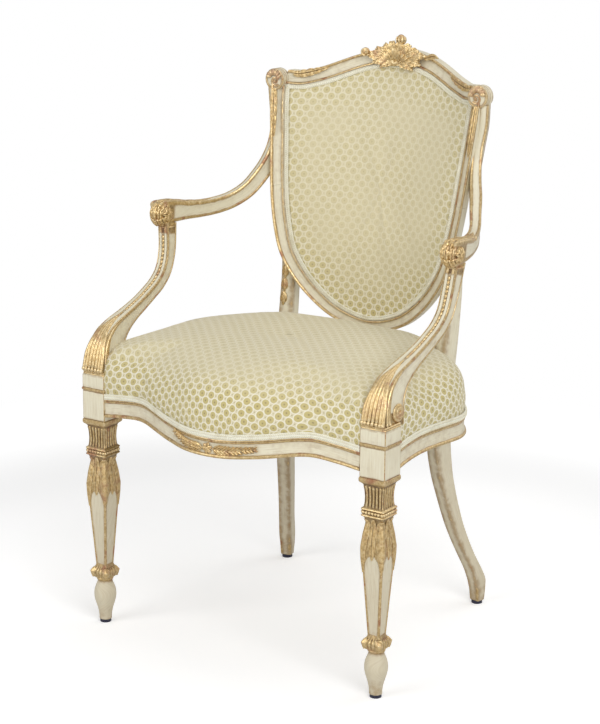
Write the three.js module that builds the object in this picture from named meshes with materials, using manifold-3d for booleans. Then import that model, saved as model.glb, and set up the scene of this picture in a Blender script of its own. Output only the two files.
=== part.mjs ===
// Shield back armchair with a stuffed-over serpentine seat, painted and gilt.
// Millimetres, +Z up, the front of the chair faces -Y. Left and right are as seen from the front.
import * as THREE from "three";
import Module from "manifold-3d";

const wasm = await Module();
wasm.setup();

// Clearances and small allowances
const fit = 0.3; // between pieces that touch
const overrun = 2.5; // how far a cutting solid runs past the piece it cuts
const tenonLength = 18;
const rearTenonLength = 11;
const tenonThickness = 9;
const supportTenonSide = 18;
const tenonRoot = 4.5; // how far a tenon starts inside its own rail
const dowelRadius = 4.5;
const dowelLength = 16;

// Seat plan: the widest place of the side rails, the legs' middles, and the faces of the rails
const seatHalfWidth = 288;
const sideOverhang = 18; // widest place of the side rails outside the front legs' middles
const rearLegX = 160.5;
const rearLegY = 366; // depth from the front legs' middles to the rear legs' middles
const rearRailProud = 13; // rear rail's face behind the rear legs' middles
const sideCount = 12; // segments of the side rail's line
const legX = seatHalfWidth - sideOverhang;
const rearRailFace = rearLegY + rearRailProud;

// Glides and feet
const glideHeight = 5;
const glideRadius = 9.5;
const glidePinRadius = 2;
const glidePinLength = 12;
const footBaseWidening = 0.9; // foot's base outside the glide
const footRadius = 18.6;
const footNeckHeight = 74;
const footNeckRadius = 12.4;
const footBaseRadius = glideRadius + footBaseWidening;

// Front legs: the square block, and the mouldings below it one under the other
const blockSide = 45.4;
const blockBottom = 358.7;
const blockHeight = 76;
const waistDrop = 27.7; // waist line below the block's top
const waistProud = 1.2;
const waistThickness = 5;
const abacusSide = 47.4;
const abacusHeight = 12.2;
const capitalSide = 35.4;
const capitalHeight = 35.5;
const beadRingSide = 42.8;
const beadRingHeight = 15.5;
const mouldingBevel = 5; // height of the slope at a moulding's edge
const neckSide = 27.5;
const neckDrop = 9.5; // neck below the bead ring
const swellSide = 38.6;
const swellDrop = 40; // swell below the neck
const swellLength = 20;
const ankleSide = 21.6;
const ankleRise = 5; // ankle above the collar
const collarSide = 34;
const collarHeight = 17;
const collarLowerSide = 29;
const collarRise = 6; // collar above the foot's neck
const cornerChamfer = 3;
const blockTop = blockBottom + blockHeight;
const waistHeight = blockTop - waistDrop;
const abacusBottom = blockBottom - abacusHeight;
const capitalBottom = abacusBottom - capitalHeight;
const beadRingBottom = capitalBottom - beadRingHeight;
const neckHeight = beadRingBottom - neckDrop;
const swellHeight = neckHeight - swellDrop;
const collarBottom = footNeckHeight + collarRise;
const collarTop = collarBottom + collarHeight;

// Seat rails: a show-wood band below, set back above for the upholstery
const railTopDrop = 9.7; // rails' top below the blocks' top
const railHeight = 64; // at the middle of the front rail
const railThickness = 25;
const bandHeight = 29.5; // visible wood
const beadProud = 2.2;
const beadHeight = 5;
const frontBow = 59.5; // how far the middle of the front rail stands before its ends
const frontSetback = 1.5; // front rail's ends behind the faces of the blocks
const frontArch = 15; // how far the lower edge rises between the middle and the legs
const sideArch = 5;
const sideRise = 3; // side rails' low edge above the front rail's
const rearRise = 5;
const skirtInset = 1.2; // seat cover behind the band's face
const coverThickness = 3;
const rebateRoom = 0.8; // between the cover and the set-back face
const railTop = blockTop - railTopDrop;
const rebate = skirtInset + coverThickness + rebateRoom;
const bandLow = railTop - railHeight;
const sideLow = bandLow + sideRise;
const rearLow = bandLow + rearRise;

// Rear legs: sabre shape below, post above
const footSpread = 40.1; // rear feet outside the legs' middles
const footReach = 75; // rear feet behind the legs' middles
const rearLegWidth = 25;
const rearLegDepth = 35.5;
const rearLegTurnDegrees = 12;
const postTopInset = 17; // post's top inside the shield's half width
const postHeight = 141.7; // post's top above the shield's bottom
const rearFootX = rearLegX + footSpread;
const rearFootY = rearLegY + footReach;
const rearTenonRoom = 0.5; // between the cover and the rear rail's tenons
const rearTenonSetback = rebate + tenonThickness / 2 + rearTenonRoom;
const sideTenonOverlap = 7.5; // side rail's end past the middle of its joint

// Shield back: inner outline where wood meets upholstery
const shieldHalfWidth = 185;
const shieldRise = 61; // shield's bottom above the rails' top
const shieldHeight = 391;
const crestRise = 42; // middle of the crest above the shoulders, inner edge
const backSetback = 21; // shield's face behind the rear legs' middles, on the centre line at its bottom
const backLeanDegrees = 10.73;
const backHollow = 61.5; // how far the stiles' front faces stand before the middle
const frameBand = 20;
const frameDepth = 24;
const crestBand = 23.5;
const ledgeWidth = 12;
const ledgeDepth = 9;
const rearRebateWidth = 6;
const rearRebateDepth = 3;
const mouldingDepth = 3;
const mouldingWidth = 4;
const mouldingSlope = 1.6;
const mouldingRound = 1.3;
const earReach = 15; // ears' middles outside the shield's half width
const earRise = 7.5;
const earRadius = 18.5;
const earDepth = 22;
const earProud = 2.2;
const shieldBottom = railTop + shieldRise;
const shoulderHeight = shieldBottom + shieldHeight;
const backBase = rearLegY + backSetback;
const earX = shieldHalfWidth + earReach;
const earHeight = shoulderHeight + earRise;

// Arms and their supports
const armStartOut = 6.5; // arm's start outside the ear's middle
const armStartDrop = 12.5; // arm's start below the ear's middle
const armStartDepth = 14.4; // arm's start behind the shield's face
const armSpread = 15; // hand rests outside the front legs' middles
const armReach = 194; // hand rests before the rear legs' middles
const armRise = 246; // arms above the rails' top
const armHug = 7.7; // how far the arms draw in beside the stiles
const armWidth = 19;
const armDepth = 27;
const supportInset = 9; // support's head inside the hand rest's middle
const supportSetback = 20; // support's head behind the hand rest's middle
const supportHeadDrop = 20; // support's head below the arm's line
const supportBaseY = 7;
const supportWidth = 22.5;
const supportDepth = 20;
const armDowelLength = 12;
const armDowelRoot = 9;
const shoulderX = earX + armStartOut;
const armStartHeight = earHeight - armStartDrop;
const terminalX = legX + armSpread;
const terminalY = rearLegY - armReach;
const armLevel = railTop + armRise;
const supportX = terminalX - supportInset;
const supportTopY = terminalY + supportSetback;
const supportTopHeight = armLevel - supportHeadDrop;

// Cresting on the middle of the crest rail
const crestingHalfWidth = 60;
const crestingGap = 2.1; // its low edge above the shield's inner edge
const crestingHeight = 42.5;
const crestingDepth = 20;
const crestingProud = 7;
const crestingLow = shoulderHeight + crestRise + crestingGap;

// Upholstery
const braidHeight = 9.5;
const braidThickness = 2.6;
const braidProud = 1.8;
const seatCrown = 82; // crown of the seat above the rails' top
const webbingWidth = 52;
const webbingThickness = 1.5;
const crossStrapShares = [0.165, 0.45, 0.74]; // places of the side-to-side straps on the way to the rear legs
const strapLegGap = 65.5; // outer front-to-back straps inside the rear legs' middles
const longStrapSpacing = rearLegX - strapLegGap;
const strapInset = 8; // ends of the straps behind the rails' faces
const strapBendShares = [0.1, 0.15];
const stuffingGap = 0.8; // stuffing under the seat cover
const canvasThickness = 1.2;
const padCrown = 9;
const backCoverThickness = 2.4;
const backBraidWidth = 7.5;
const outsideCoverThickness = 1.5;
const outsideGap = 0.8; // between the frame's rebate and the outside cover
const padEdgeDepth = 1.6;

// Corner blocks and screws
const blockTopGap = 6; // corner blocks below the rails' top
const blockLift = 18; // corner blocks above the front rail's low edge
const blockReach = 62; // along both rails from the front leg
const rearBlockReach = 88;
const rearBlockRun = 116;
const blockScrewLength = 28;
const blockScrewPlace = 32; // from the leg
const rearScrewPlace = 45; // from the rear leg's middle
const rearSideScrewPlace = 48;
const screwPocket = 30;
const screwRadius = 2.4;
const screwHeadRadius = 4.2;
const screwHeadHeight = 3;
const screwLength = 34;
const postScrewShare = 0.425; // place of the post's screw along the shield's inner edge
const postScrewDepth = 8; // its tip behind the shield's face
const postScrewLength = 28;
const armScrewForward = 1.2; // its head before the middle between the ledge and the rear rebate
const armScrewSlantShare = 0.4;
const armScrewShare = 0.85; // place of the arm's screw along the shield's inner edge
const armScrewDepth = (ledgeDepth + frameDepth - rearRebateDepth) / 2 - armScrewForward;
const blockHigh = railTop - blockTopGap;
const blockLow = bandLow + blockLift;

// Finishes
const paint = new THREE.MeshStandardMaterial({ color: 0xd9cfae, roughness: 0.55, metalness: 0 });
const gilt = new THREE.MeshStandardMaterial({ color: 0xb8893a, roughness: 0.38, metalness: 0.8 });
const velvet = new THREE.MeshStandardMaterial({ color: 0xcfc68f, roughness: 0.9, metalness: 0 });
const braid = new THREE.MeshStandardMaterial({ color: 0xdfe3d2, roughness: 0.85, metalness: 0 });
const beech = new THREE.MeshStandardMaterial({ color: 0xb58f62, roughness: 0.7, metalness: 0 });
const linen = new THREE.MeshStandardMaterial({ color: 0xc8b692, roughness: 0.95, metalness: 0 });
const horsehair = new THREE.MeshStandardMaterial({ color: 0x4a3b2c, roughness: 1, metalness: 0 });
const steel = new THREE.MeshStandardMaterial({ color: 0x8c8c88, roughness: 0.4, metalness: 1 });
const darkNylon = new THREE.MeshStandardMaterial({ color: 0x191b33, roughness: 0.45, metalness: 0 });

const chair = new THREE.Group();

// Keeps a closed solid as one named mesh of the chair.
function place(name, solid, material) {
  const { vertProperties, triVerts, numProp } = solid.getMesh();
  const geometry = new THREE.BufferGeometry();
  const count = vertProperties.length / numProp;
  const positions = new Float32Array(count * 3);
  for (let i = 0; i < count; i++) {
    positions.set(vertProperties.subarray(i * numProp, i * numProp + 3), i * 3);
  }
  geometry.setAttribute("position", new THREE.BufferAttribute(positions, 3));
  geometry.setIndex(new THREE.BufferAttribute(new Uint32Array(triVerts), 1));
  geometry.computeVertexNormals();
  const mesh = new THREE.Mesh(geometry, material);
  mesh.name = name;
  chair.add(mesh);
}

// Closed solid from points and triangles, turned so that its faces point out.
function solidFrom(points, faces) {
  let volume = 0;
  const side = new THREE.Vector3();
  for (let i = 0; i < faces.length; i += 3) {
    side.crossVectors(points[faces[i + 1]], points[faces[i + 2]]);
    volume += points[faces[i]].dot(side);
  }
  const triVerts = new Uint32Array(faces);
  if (volume < 0) {
    for (let i = 0; i < triVerts.length; i += 3) {
      [triVerts[i], triVerts[i + 1]] = [triVerts[i + 1], triVerts[i]];
    }
  }
  const vertProperties = new Float32Array(points.flatMap((p) => [p.x, p.y, p.z]));
  return new wasm.Manifold(new wasm.Mesh({ numProp: 3, vertProperties, triVerts }));
}

// Closed solid from a three.js geometry whose seams are shared once merged by place.
function solidOf(geometry, matrix = new THREE.Matrix4()) {
  const source = geometry.index ? geometry.toNonIndexed() : geometry;
  const position = source.getAttribute("position");
  const points = [];
  const faces = [];
  const known = new Map();
  for (let i = 0; i < position.count; i++) {
    const p = new THREE.Vector3().fromBufferAttribute(position, i).applyMatrix4(matrix);
    const key = [p.x, p.y, p.z].map((value) => Math.round(value * 1e3)).join(" ");
    if (!known.has(key)) {
      known.set(key, points.length);
      points.push(p);
    }
    faces.push(known.get(key));
  }
  const kept = [];
  for (let i = 0; i < faces.length; i += 3) {
    const [a, b, c] = faces.slice(i, i + 3);
    if (a !== b && b !== c && c !== a) kept.push(a, b, c);
  }
  return solidFrom(points, kept);
}

// Box between two corners.
function block(low, high) {
  const [width, depth, height] = high.map((value, axis) => value - low[axis]);
  const middle = high.map((value, axis) => (value + low[axis]) / 2);
  const matrix = new THREE.Matrix4().makeTranslation(...middle);
  return solidOf(new THREE.BoxGeometry(width, depth, height), matrix);
}

// Round bar between two points.
function bar(from, to, radius, sides = 12) {
  const line = new THREE.Vector3().subVectors(to, from);
  const geometry = new THREE.CylinderGeometry(radius, radius, line.length(), sides);
  const up = new THREE.Vector3(0, 1, 0);
  const turn = new THREE.Quaternion().setFromUnitVectors(up, line.clone().normalize());
  const middle = new THREE.Vector3().addVectors(from, to).multiplyScalar(0.5);
  const matrix = new THREE.Matrix4().compose(middle, turn, new THREE.Vector3(1, 1, 1));
  return solidOf(geometry, matrix);
}

// Skin over a row of closed rings. An end is capped by its flat outline, or by a fan to its middle.
function skin(rings, outline) {
  const count = rings[0].length;
  const points = rings.flat();
  const faces = [];
  for (let i = 0; i + 1 < rings.length; i++) {
    for (let k = 0; k < count; k++) {
      const a = i * count + k;
      const b = i * count + ((k + 1) % count);
      faces.push(a, b, b + count, a, b + count, a + count);
    }
  }
  const last = (rings.length - 1) * count;
  if (outline) {
    const forward = THREE.ShapeUtils.area(outline) > 0;
    for (const [a, b, c] of THREE.ShapeUtils.triangulateShape(outline, [])) {
      const same = THREE.ShapeUtils.area([outline[a], outline[b], outline[c]]) > 0 === forward;
      const [p, q] = same ? [b, c] : [c, b];
      faces.push(a, q, p, last + a, last + p, last + q);
    }
  } else {
    for (const [ring, start, turned] of [[rings[0], 0, true], [rings[rings.length - 1], last, false]]) {
      const middle = ring.reduce((sum, p) => sum.add(p), new THREE.Vector3()).divideScalar(count);
      points.push(middle);
      for (let k = 0; k < count; k++) {
        const pair = [start + k, start + ((k + 1) % count)];
        if (turned) pair.reverse();
        faces.push(...pair, points.length - 1);
      }
    }
  }
  return solidFrom(points, faces);
}

// Skin over rings that follow one another round a closed loop.
function hoop(rings) {
  const count = rings[0].length;
  const faces = [];
  for (let i = 0; i < rings.length; i++) {
    const next = ((i + 1) % rings.length) * count;
    for (let k = 0; k < count; k++) {
      const a = i * count + k;
      const b = i * count + ((k + 1) % count);
      const c = next + k;
      const d = next + ((k + 1) % count);
      faces.push(a, b, d, a, d, c);
    }
  }
  return solidFrom(rings.flat(), faces);
}

// Value at one place of a smooth line through [place, value] pairs, level at the first of them.
function smooth(pairs, place) {
  const last = pairs.length - 1;
  let i = 0;
  while (i < last - 1 && place > pairs[i + 1][0]) i++;
  const slope = (a, b) => (pairs[b][1] - pairs[a][1]) / (pairs[b][0] - pairs[a][0]);
  const step = pairs[i + 1][0] - pairs[i][0];
  const share = (place - pairs[i][0]) / step;
  const startSlope = i > 0 ? slope(i - 1, i + 1) : 0;
  const endSlope = i + 1 < last ? slope(i, i + 2) : slope(last - 1, last);
  const a = pairs[i][1];
  const b = pairs[i + 1][1];
  const s2 = share * share;
  const s3 = s2 * share;
  return (2 * s3 - 3 * s2 + 1) * a + (s3 - 2 * s2 + share) * step * startSlope
    + (3 * s2 - 2 * s3) * b + (s3 - s2) * step * endSlope;
}

// Evenly numbered points of a smooth line through points.
function through(points, count) {
  return new THREE.CatmullRomCurve3(points).getPoints(count);
}

// Numbers from one end to the other in equal steps, both ends included.
function steps(from, to, count) {
  return Array.from({ length: count + 1 }, (unused, i) => from + ((to - from) * i) / count);
}

// Square with cut corners, as a flat outline.
function chamferedSquare(width, depth, chamfer) {
  const [x, y] = [width / 2, depth / 2];
  const corners = [
    [x - chamfer, -y], [x, -y + chamfer], [x, y - chamfer], [x - chamfer, y],
    [-x + chamfer, y], [-x, y - chamfer], [-x, -y + chamfer], [-x + chamfer, -y],
  ];
  return corners.map(([a, b]) => new THREE.Vector2(a, b));
}

// Points of a seat rail's section: out is measured from the band's face, up is a height.
function railSection(low, high, grow = 0) {
  return [
    [-railThickness - grow, low - grow],
    [beadProud + grow, low - grow],
    [beadProud + grow, low + beadHeight],
    [grow, low + beadHeight],
    [grow, high + grow],
    [-rebate + grow, high + grow],
    [-rebate + grow, railTop + grow],
    [-railThickness - grow, railTop + grow],
  ].map(([out, up]) => new THREE.Vector2(out, up));
}

// Rail along a line in plan whose points carry the low edge's height as z.
function railAlong(line, grow = 0) {
  const rings = line.map((point, i) => {
    const before = line[Math.max(i - 1, 0)];
    const after = line[Math.min(i + 1, line.length - 1)];
    const out = new THREE.Vector3(after.y - before.y, before.x - after.x, 0).normalize();
    return railSection(point.z, point.z + bandHeight, grow).map(
      ({ x, y }) => new THREE.Vector3(point.x + out.x * x, point.y + out.y * x, y),
    );
  });
  return skin(rings, railSection(line[0].z, line[0].z + bandHeight, grow));
}

// Front rail in plan and elevation
const blockHalf = blockSide / 2;
const frontEndX = legX - blockHalf;
const frontEndY = -blockHalf + frontSetback;
const frontGap = blockHalf / 3;
const frontBowShares = [[0, 1], [0.162, 0.94], [0.324, 0.7], [0.485, 0.44], [0.647, 0.17], [0.83, 0.04], [1, 0]];
const frontArchShares = [[0, 0], [0.324, 0.3], [0.647, 1], [0.85, 0.72], [1, 0.4]];

function frontFace(x) {
  return frontEndY - frontBow * smooth(frontBowShares, Math.min(Math.abs(x) / frontEndX, 1));
}

function frontLow(x) {
  return bandLow + frontArch * smooth(frontArchShares, Math.min(Math.abs(x) / frontEndX, 1));
}

const frontLine = (places) => places.map((x) => new THREE.Vector3(x, frontFace(x), frontLow(x)));
const frontPlaces = steps(0, frontEndX - frontGap, 6); // right half, from the middle

// Side rail in plan, from the front block to the rear leg
const sideXShares = [0.9865, 0.9505, 0.9347, 0.9437, 0.9685, 0.9662, 0.8897, 0.721, 0.4848, 0.2485, 0.0573];
const sideYShares = [0, 0.11, 0.225, 0.345, 0.465, 0.57, 0.66, 0.755, 0.845, 0.915, 0.965];
const sideArchShares = [0, 0.6, 1, 1, 0.8, 0.5, 0.3, 0.2, 0.2, 0.2, 0.2];

function sideLine(count) {
  const points = sideXShares.map((share, i) => new THREE.Vector3(
    rearLegX + share * (seatHalfWidth - rearLegX),
    blockHalf + sideYShares[i] * (rearLegY - blockHalf),
    sideLow + sideArch * sideArchShares[i],
  ));
  return through(points, count);
}

// Rear leg up to the seat: height, place, width and depth as shares
const rearLegShares = [
  [0.014, 1, 1, 0.78, 0.46], [0.033, 1, 1, 0.82, 0.5], [0.07, 0.995, 1, 0.88, 0.56],
  [0.125, 0.975, 0.97, 0.9, 0.76], [0.181, 0.868, 0.872, 0.94, 0.66], [0.251, 0.696, 0.723, 0.92, 0.64],
  [0.335, 0.506, 0.568, 0.92, 0.68], [0.418, 0.347, 0.433, 0.94, 0.72], [0.502, 0.224, 0.321, 0.97, 0.76],
  [0.585, 0.12, 0.22, 0.98, 0.82], [0.669, 0.017, 0.133, 0.97, 0.92], [0.753, -0.05, 0.077, 0.94, 1.03],
  [0.836, -0.09, 0.035, 0.93, 1.1], [1, -0.07, 0.015, 0.95, 1.1], [1.126, -0.03, 0.04, 0.97, 1.03],
];

// Post: height over the shield's bottom, way out to its top, place behind the shield's face, width and depth
const postShares = [
  [-0.043, 0, 1.727, 1.05, 0.9], [0.451, 0.166, 1.569, 1, 0.8], [0.772, 0.535, 1.356, 0.96, 0.58],
  [1, 1, 1.181, 0.9, 0.34],
];

function rearLegBody(side, grow = 0) {
  const turn = side * THREE.MathUtils.degToRad(rearLegTurnDegrees);
  const outline = chamferedSquare(rearLegWidth, rearLegDepth, cornerChamfer);
  const lower = rearLegShares.map(([up, out, back, wide, deep]) => [
    rearLegX + out * footSpread,
    rearLegY + back * footReach,
    Math.max(up * blockBottom, glideHeight) + fit,
    wide,
    deep,
  ]);
  const upper = postShares.map(([up, out, behind, wide, deep]) => {
    const x = rearLegX + out * (shieldHalfWidth - postTopInset - rearLegX);
    const z = shieldBottom + up * postHeight;
    return [x, backFace(x, z) + behind * frameDepth, z, wide, deep];
  });
  const rings = [...lower, ...upper].map(([x, y, z, wide, deep]) => {
    const width = rearLegWidth * wide + 2 * grow;
    const depth = rearLegDepth * deep + 2 * grow;
    return chamferedSquare(width, depth, cornerChamfer).map((p) => new THREE.Vector3(
      side * x + p.x * Math.cos(turn) + p.y * Math.sin(turn),
      y - p.x * Math.sin(turn) + p.y * Math.cos(turn),
      z,
    ));
  });
  return skin(rings, outline);
}

// Shield: half outline of the inner edge, as shares of its half width and height
const sideShares = [
  [0, 0], [0.15, 0.011], [0.36, 0.05], [0.545, 0.118], [0.69, 0.197], [0.795, 0.284],
  [0.858, 0.384], [0.9, 0.487], [0.928, 0.589], [0.948, 0.69], [0.968, 0.795], [0.988, 0.896], [1, 1],
];
const crestShares = [[1, 0], [0.93, -0.03], [0.865, -0.03], [0.79, 0.04], [0.655, 0.22], [0.52, 0.46],
  [0.38, 0.7], [0.23, 0.89], [0.1, 0.98], [0, 1]];

function backFace(x, z) {
  const lean = Math.tan(THREE.MathUtils.degToRad(backLeanDegrees));
  return backBase + lean * (z - shieldBottom) - backHollow * (x / shieldHalfWidth) ** 2;
}

const lowerLine = new THREE.CatmullRomCurve3(sideShares.map(
  ([x, z]) => new THREE.Vector3(x * shieldHalfWidth, 0, shieldBottom + z * shieldHeight),
));
const crestLine = new THREE.CatmullRomCurve3(crestShares.map(
  ([x, z]) => new THREE.Vector3(x * shieldHalfWidth, 0, shoulderHeight + z * crestRise),
));

// Point of the back: a point of the outline moved out in its plane and back from the face.
function backPoint(point, normal, out, depth) {
  const x = point.x + normal.x * out;
  const z = point.z + normal.z * out;
  return new THREE.Vector3(x, backFace(x, z) + depth, z);
}

// Outward directions of an open or closed line in the plane of the back.
function outward(line, closed) {
  const count = line.length;
  return line.map((unused, i) => {
    const before = closed ? line[(i + count - 1) % count] : line[Math.max(i - 1, 0)];
    const after = closed ? line[(i + 1) % count] : line[Math.min(i + 1, count - 1)];
    return new THREE.Vector3(after.z - before.z, 0, before.x - after.x).normalize();
  });
}

// Section of the shield frame: out from the inner edge, back from the face.
function frameSection(band, grow = 0) {
  return [
    [-ledgeWidth - grow, ledgeDepth - grow],
    [-grow, ledgeDepth - grow],
    [-grow, -grow],
    [mouldingWidth, -grow],
    [mouldingWidth + mouldingSlope, mouldingDepth - grow],
    [band - mouldingWidth - mouldingSlope, mouldingDepth - grow],
    [band - mouldingWidth, -grow],
    [band - mouldingRound + grow, -grow],
    [band + grow, mouldingDepth],
    [band + grow, frameDepth + grow],
    [rearRebateWidth - grow, frameDepth + grow],
    [rearRebateWidth - grow, frameDepth - rearRebateDepth + grow],
    [-ledgeWidth - grow, frameDepth - rearRebateDepth + grow],
  ].map(([out, depth]) => new THREE.Vector2(out, depth));
}

function frameAlong(line, band, grow = 0) {
  const normals = outward(line, false);
  const section = frameSection(band, grow);
  const rings = line.map((point, i) => section.map(({ x, y }) => backPoint(point, normals[i], x, y)));
  return skin(rings, section);
}

// Part of a curve from one share of its length to another.
function stretch(curve, from, to, count) {
  return steps(from, to, count).map((share) => curve.getPointAt(share));
}

const mirrored = (line) => line.map((p) => new THREE.Vector3(-p.x, p.y, p.z));
const stileShare = 0.64; // share of the lower line's length where the stile begins
const railSteps = 9;
const stileSteps = 5;
const crestSteps = 8;

function crestBody(grow = 0) {
  const right = stretch(crestLine, 0, 1, crestSteps);
  const left = mirrored(right.slice(0, -1)).reverse();
  return frameAlong([...right, ...left], crestBand, grow);
}

function bottomRailBody(grow = 0) {
  const right = stretch(lowerLine, 0, stileShare, railSteps);
  const left = mirrored(right.slice(1)).reverse();
  return frameAlong([...left, ...right], frameBand, grow);
}

function stileBody(side, grow = 0) {
  const line = stretch(lowerLine, stileShare, 1, stileSteps);
  line[0] = lowerLine.getPointAt(stileShare + fit / lowerLine.getLength());
  return frameAlong(side > 0 ? line : mirrored(line).reverse(), frameBand, grow);
}

function earBody(side, grow = 0) {
  const face = backFace(earX, earHeight) - earProud;
  const from = new THREE.Vector3(side * earX, face - grow, earHeight);
  const to = new THREE.Vector3(side * earX, face + earDepth + grow, earHeight);
  return bar(from, to, earRadius + grow, 20);
}

// Arm: centre line, width and depth, and the turn of its top face, from the ear to the hand rest
const armXShares = [0, 0, 0, 0, 0, 0.09, 0.25, 0.44, 0.61, 0.755, 0.88, 0.965, 1, 1, 1];
const armHugShares = [0, 0.459, 1, 0.907, 0.255, 0, 0, 0, 0, 0, 0, 0, 0, 0, 0];
const armYShares = [1, 1.009, 0.991, 0.957, 0.905, 0.845, 0.752, 0.644, 0.524, 0.391, 0.262, 0.133, 0, -0.036, -0.053];
const armZShares = [1, 0.816, 0.642, 0.502, 0.368, 0.25, 0.126, 0.047, 0.01, -0.002, 0, 0.01, 0.012, 0.008, 0.005];
const armWidthShares = [0.9, 0.95, 0.95, 0.93, 1, 1.05, 1, 0.97, 1, 1.1, 1.22, 1.34, 1.34, 1.1, 0.6];
const armDepthShares = [0.9, 1, 1, 1, 1, 1, 1, 1, 1.02, 1.04, 1.12, 1.38, 1.5, 1.15, 0.6];
const armTurnDegrees = [19, 19, 19, 26, 34, 37, 35, 30, 25, 22, 17, 10, 2, 0, 0];

// Rounded section with a flatter top, width across and depth down.
function armSection(width, depth) {
  const [x, y] = [width / 2, depth / 2];
  return [
    [0.55, 1], [0.98, 0.86], [1, 0.2], [0.82, -0.55], [0.45, -0.95],
    [-0.45, -0.95], [-0.82, -0.55], [-1, 0.2], [-0.98, 0.86], [-0.55, 1],
  ].map(([a, b]) => new THREE.Vector2(a * x, b * y));
}

function armBody(side, grow = 0) {
  const shoulderY = backFace(earX, earHeight) + armStartDepth;
  const along = new THREE.CatmullRomCurve3(armXShares.map((share, i) => new THREE.Vector3(
    shoulderX + share * (terminalX - shoulderX) - armHugShares[i] * armHug,
    terminalY + armYShares[i] * (shoulderY - terminalY),
    armLevel + armZShares[i] * (armStartHeight - armLevel),
  )));
  const sizes = new THREE.CatmullRomCurve3(armWidthShares.map((share, i) => new THREE.Vector3(
    share * armWidth, armDepthShares[i] * armDepth, armTurnDegrees[i],
  )));
  const rings = steps(0, 1, 24).map((share) => {
    const middle = along.getPoint(share);
    const ahead = along.getTangent(share);
    const size = sizes.getPoint(share);
    const turn = THREE.MathUtils.degToRad(size.z);
    const across = new THREE.Vector3(Math.cos(turn), Math.sin(turn), 0);
    across.addScaledVector(ahead, -across.dot(ahead)).normalize();
    const up = new THREE.Vector3().crossVectors(ahead, across);
    return armSection(size.x + 2 * grow, size.y + 2 * grow).map(({ x, y }) => {
      const p = middle.clone().addScaledVector(across, x).addScaledVector(up, y);
      return new THREE.Vector3(side * p.x, p.y, p.z);
    });
  });
  return skin(rings, armSection(armWidth, armDepth));
}

// Arm support: centre line in a plane along the side, from the hand rest to the block
const supportYShares = [1, 0.958, 0.89, 0.785, 0.66, 0.53, 0.41, 0.3, 0.19, 0.1, 0.045, 0.01, 0];
const supportZShares = [1, 0.78, 0.64, 0.553, 0.494, 0.44, 0.397, 0.356, 0.308, 0.252, 0.19, 0.085, 0];
const supportDepthShares = [1.1, 0.98, 0.95, 0.95, 0.95, 1, 1.08, 1.3, 1.75, 2.3, 2.65, 2.85, 2.9];
const supportWidthShares = [1.05, 1, 1, 1, 1.02, 1.04, 1.1, 1.18, 1.28, 1.4, 1.52, 1.66, 1.74];
const supportTiltDegrees = [8, 17, 32, 50, 62, 68, 68, 64, 54, 40, 24, 8, 0];

function supportSection(width, depth) {
  const [x, y] = [width / 2, depth / 2];
  return [
    [0.7, 1], [1, 0.85], [1, -0.85], [0.7, -1], [-0.7, -1], [-1, -0.85], [-1, 0.85], [-0.7, 1],
  ].map(([a, b]) => new THREE.Vector2(a * x, b * y));
}

function supportBody(side, grow = 0) {
  const base = blockTop + fit;
  const rise = supportTopHeight - base;
  const along = new THREE.CatmullRomCurve3(supportYShares.map((share, i) => new THREE.Vector3(
    legX + share * (supportX - legX),
    supportBaseY + share * (supportTopY - supportBaseY),
    base + supportZShares[i] * rise,
  )));
  const sizes = new THREE.CatmullRomCurve3(supportWidthShares.map((share, i) => new THREE.Vector3(
    share * supportWidth, supportDepthShares[i] * supportDepth, supportTiltDegrees[i],
  )));
  const rings = steps(0, 1, 22).map((share) => {
    const middle = along.getPoint(share);
    const size = sizes.getPoint(share);
    const tilt = THREE.MathUtils.degToRad(size.z);
    const front = new THREE.Vector3(0, -Math.cos(tilt), Math.sin(tilt));
    return supportSection(size.x + 2 * grow, size.y + 2 * grow).map(({ x, y }) => new THREE.Vector3(
      side * (middle.x + x),
      middle.y + front.y * y,
      middle.z + front.z * y,
    ));
  });
  return skin(rings, supportSection(supportWidth, supportDepth));
}

const footShares = [[0.7, 0.345], [0.93, 0.538], [1, 0.689], [0.88, 0.841]]; // radius and height

// Front leg: block, carved square shaft and turned foot
function frontLegBody(side, grow = 0) {
  const x = side * legX;
  const half = blockHalf + grow;
  let leg = block([x - half, -half, blockBottom - grow], [x + half, half, blockTop + grow]);
  const waist = half + waistProud;
  const waistTop = waistHeight + waistThickness;
  leg = leg.add(block([x - waist, -waist, waistHeight], [x + waist, waist, waistTop]));
  const shaft = [
    [blockBottom + fit, abacusSide], [abacusBottom + mouldingBevel, abacusSide],
    [abacusBottom, capitalSide + waistProud], [(abacusBottom + capitalBottom) / 2, capitalSide - waistProud],
    [capitalBottom, capitalSide], [capitalBottom - mouldingBevel, beadRingSide],
    [beadRingBottom + mouldingBevel, beadRingSide], [beadRingBottom, capitalSide],
    [neckHeight, neckSide], [(neckHeight + swellHeight) / 2, (neckSide + swellSide) / 2 + waistProud],
    [swellHeight, swellSide], [swellHeight - swellLength, swellSide - waistProud],
    [collarTop + ankleRise, ankleSide], [collarTop - mouldingBevel, collarSide],
    [collarBottom, collarLowerSide],
  ];
  const rings = shaft.map(([z, width]) => chamferedSquare(width, width, cornerChamfer).map(
    (p) => new THREE.Vector3(x + p.x, p.y, z),
  ));
  leg = leg.add(skin(rings, chamferedSquare(abacusSide, abacusSide, cornerChamfer)));
  const profile = [
    [0, glideHeight], [footBaseRadius, glideHeight], [footBaseRadius, glideHeight + mouldingBevel],
    ...footShares.map(([radius, z]) => [footRadius * radius, footNeckHeight * z]),
    [footNeckRadius, footNeckHeight], [footNeckRadius, collarBottom + fit], [0, collarBottom + fit],
  ].map(([radius, z]) => new THREE.Vector2(radius, z));
  const upright = new THREE.Matrix4().makeRotationX(Math.PI / 2).setPosition(x, 0, 0);
  return leg.add(solidOf(new THREE.LatheGeometry(profile, 16), upright));
}

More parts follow.
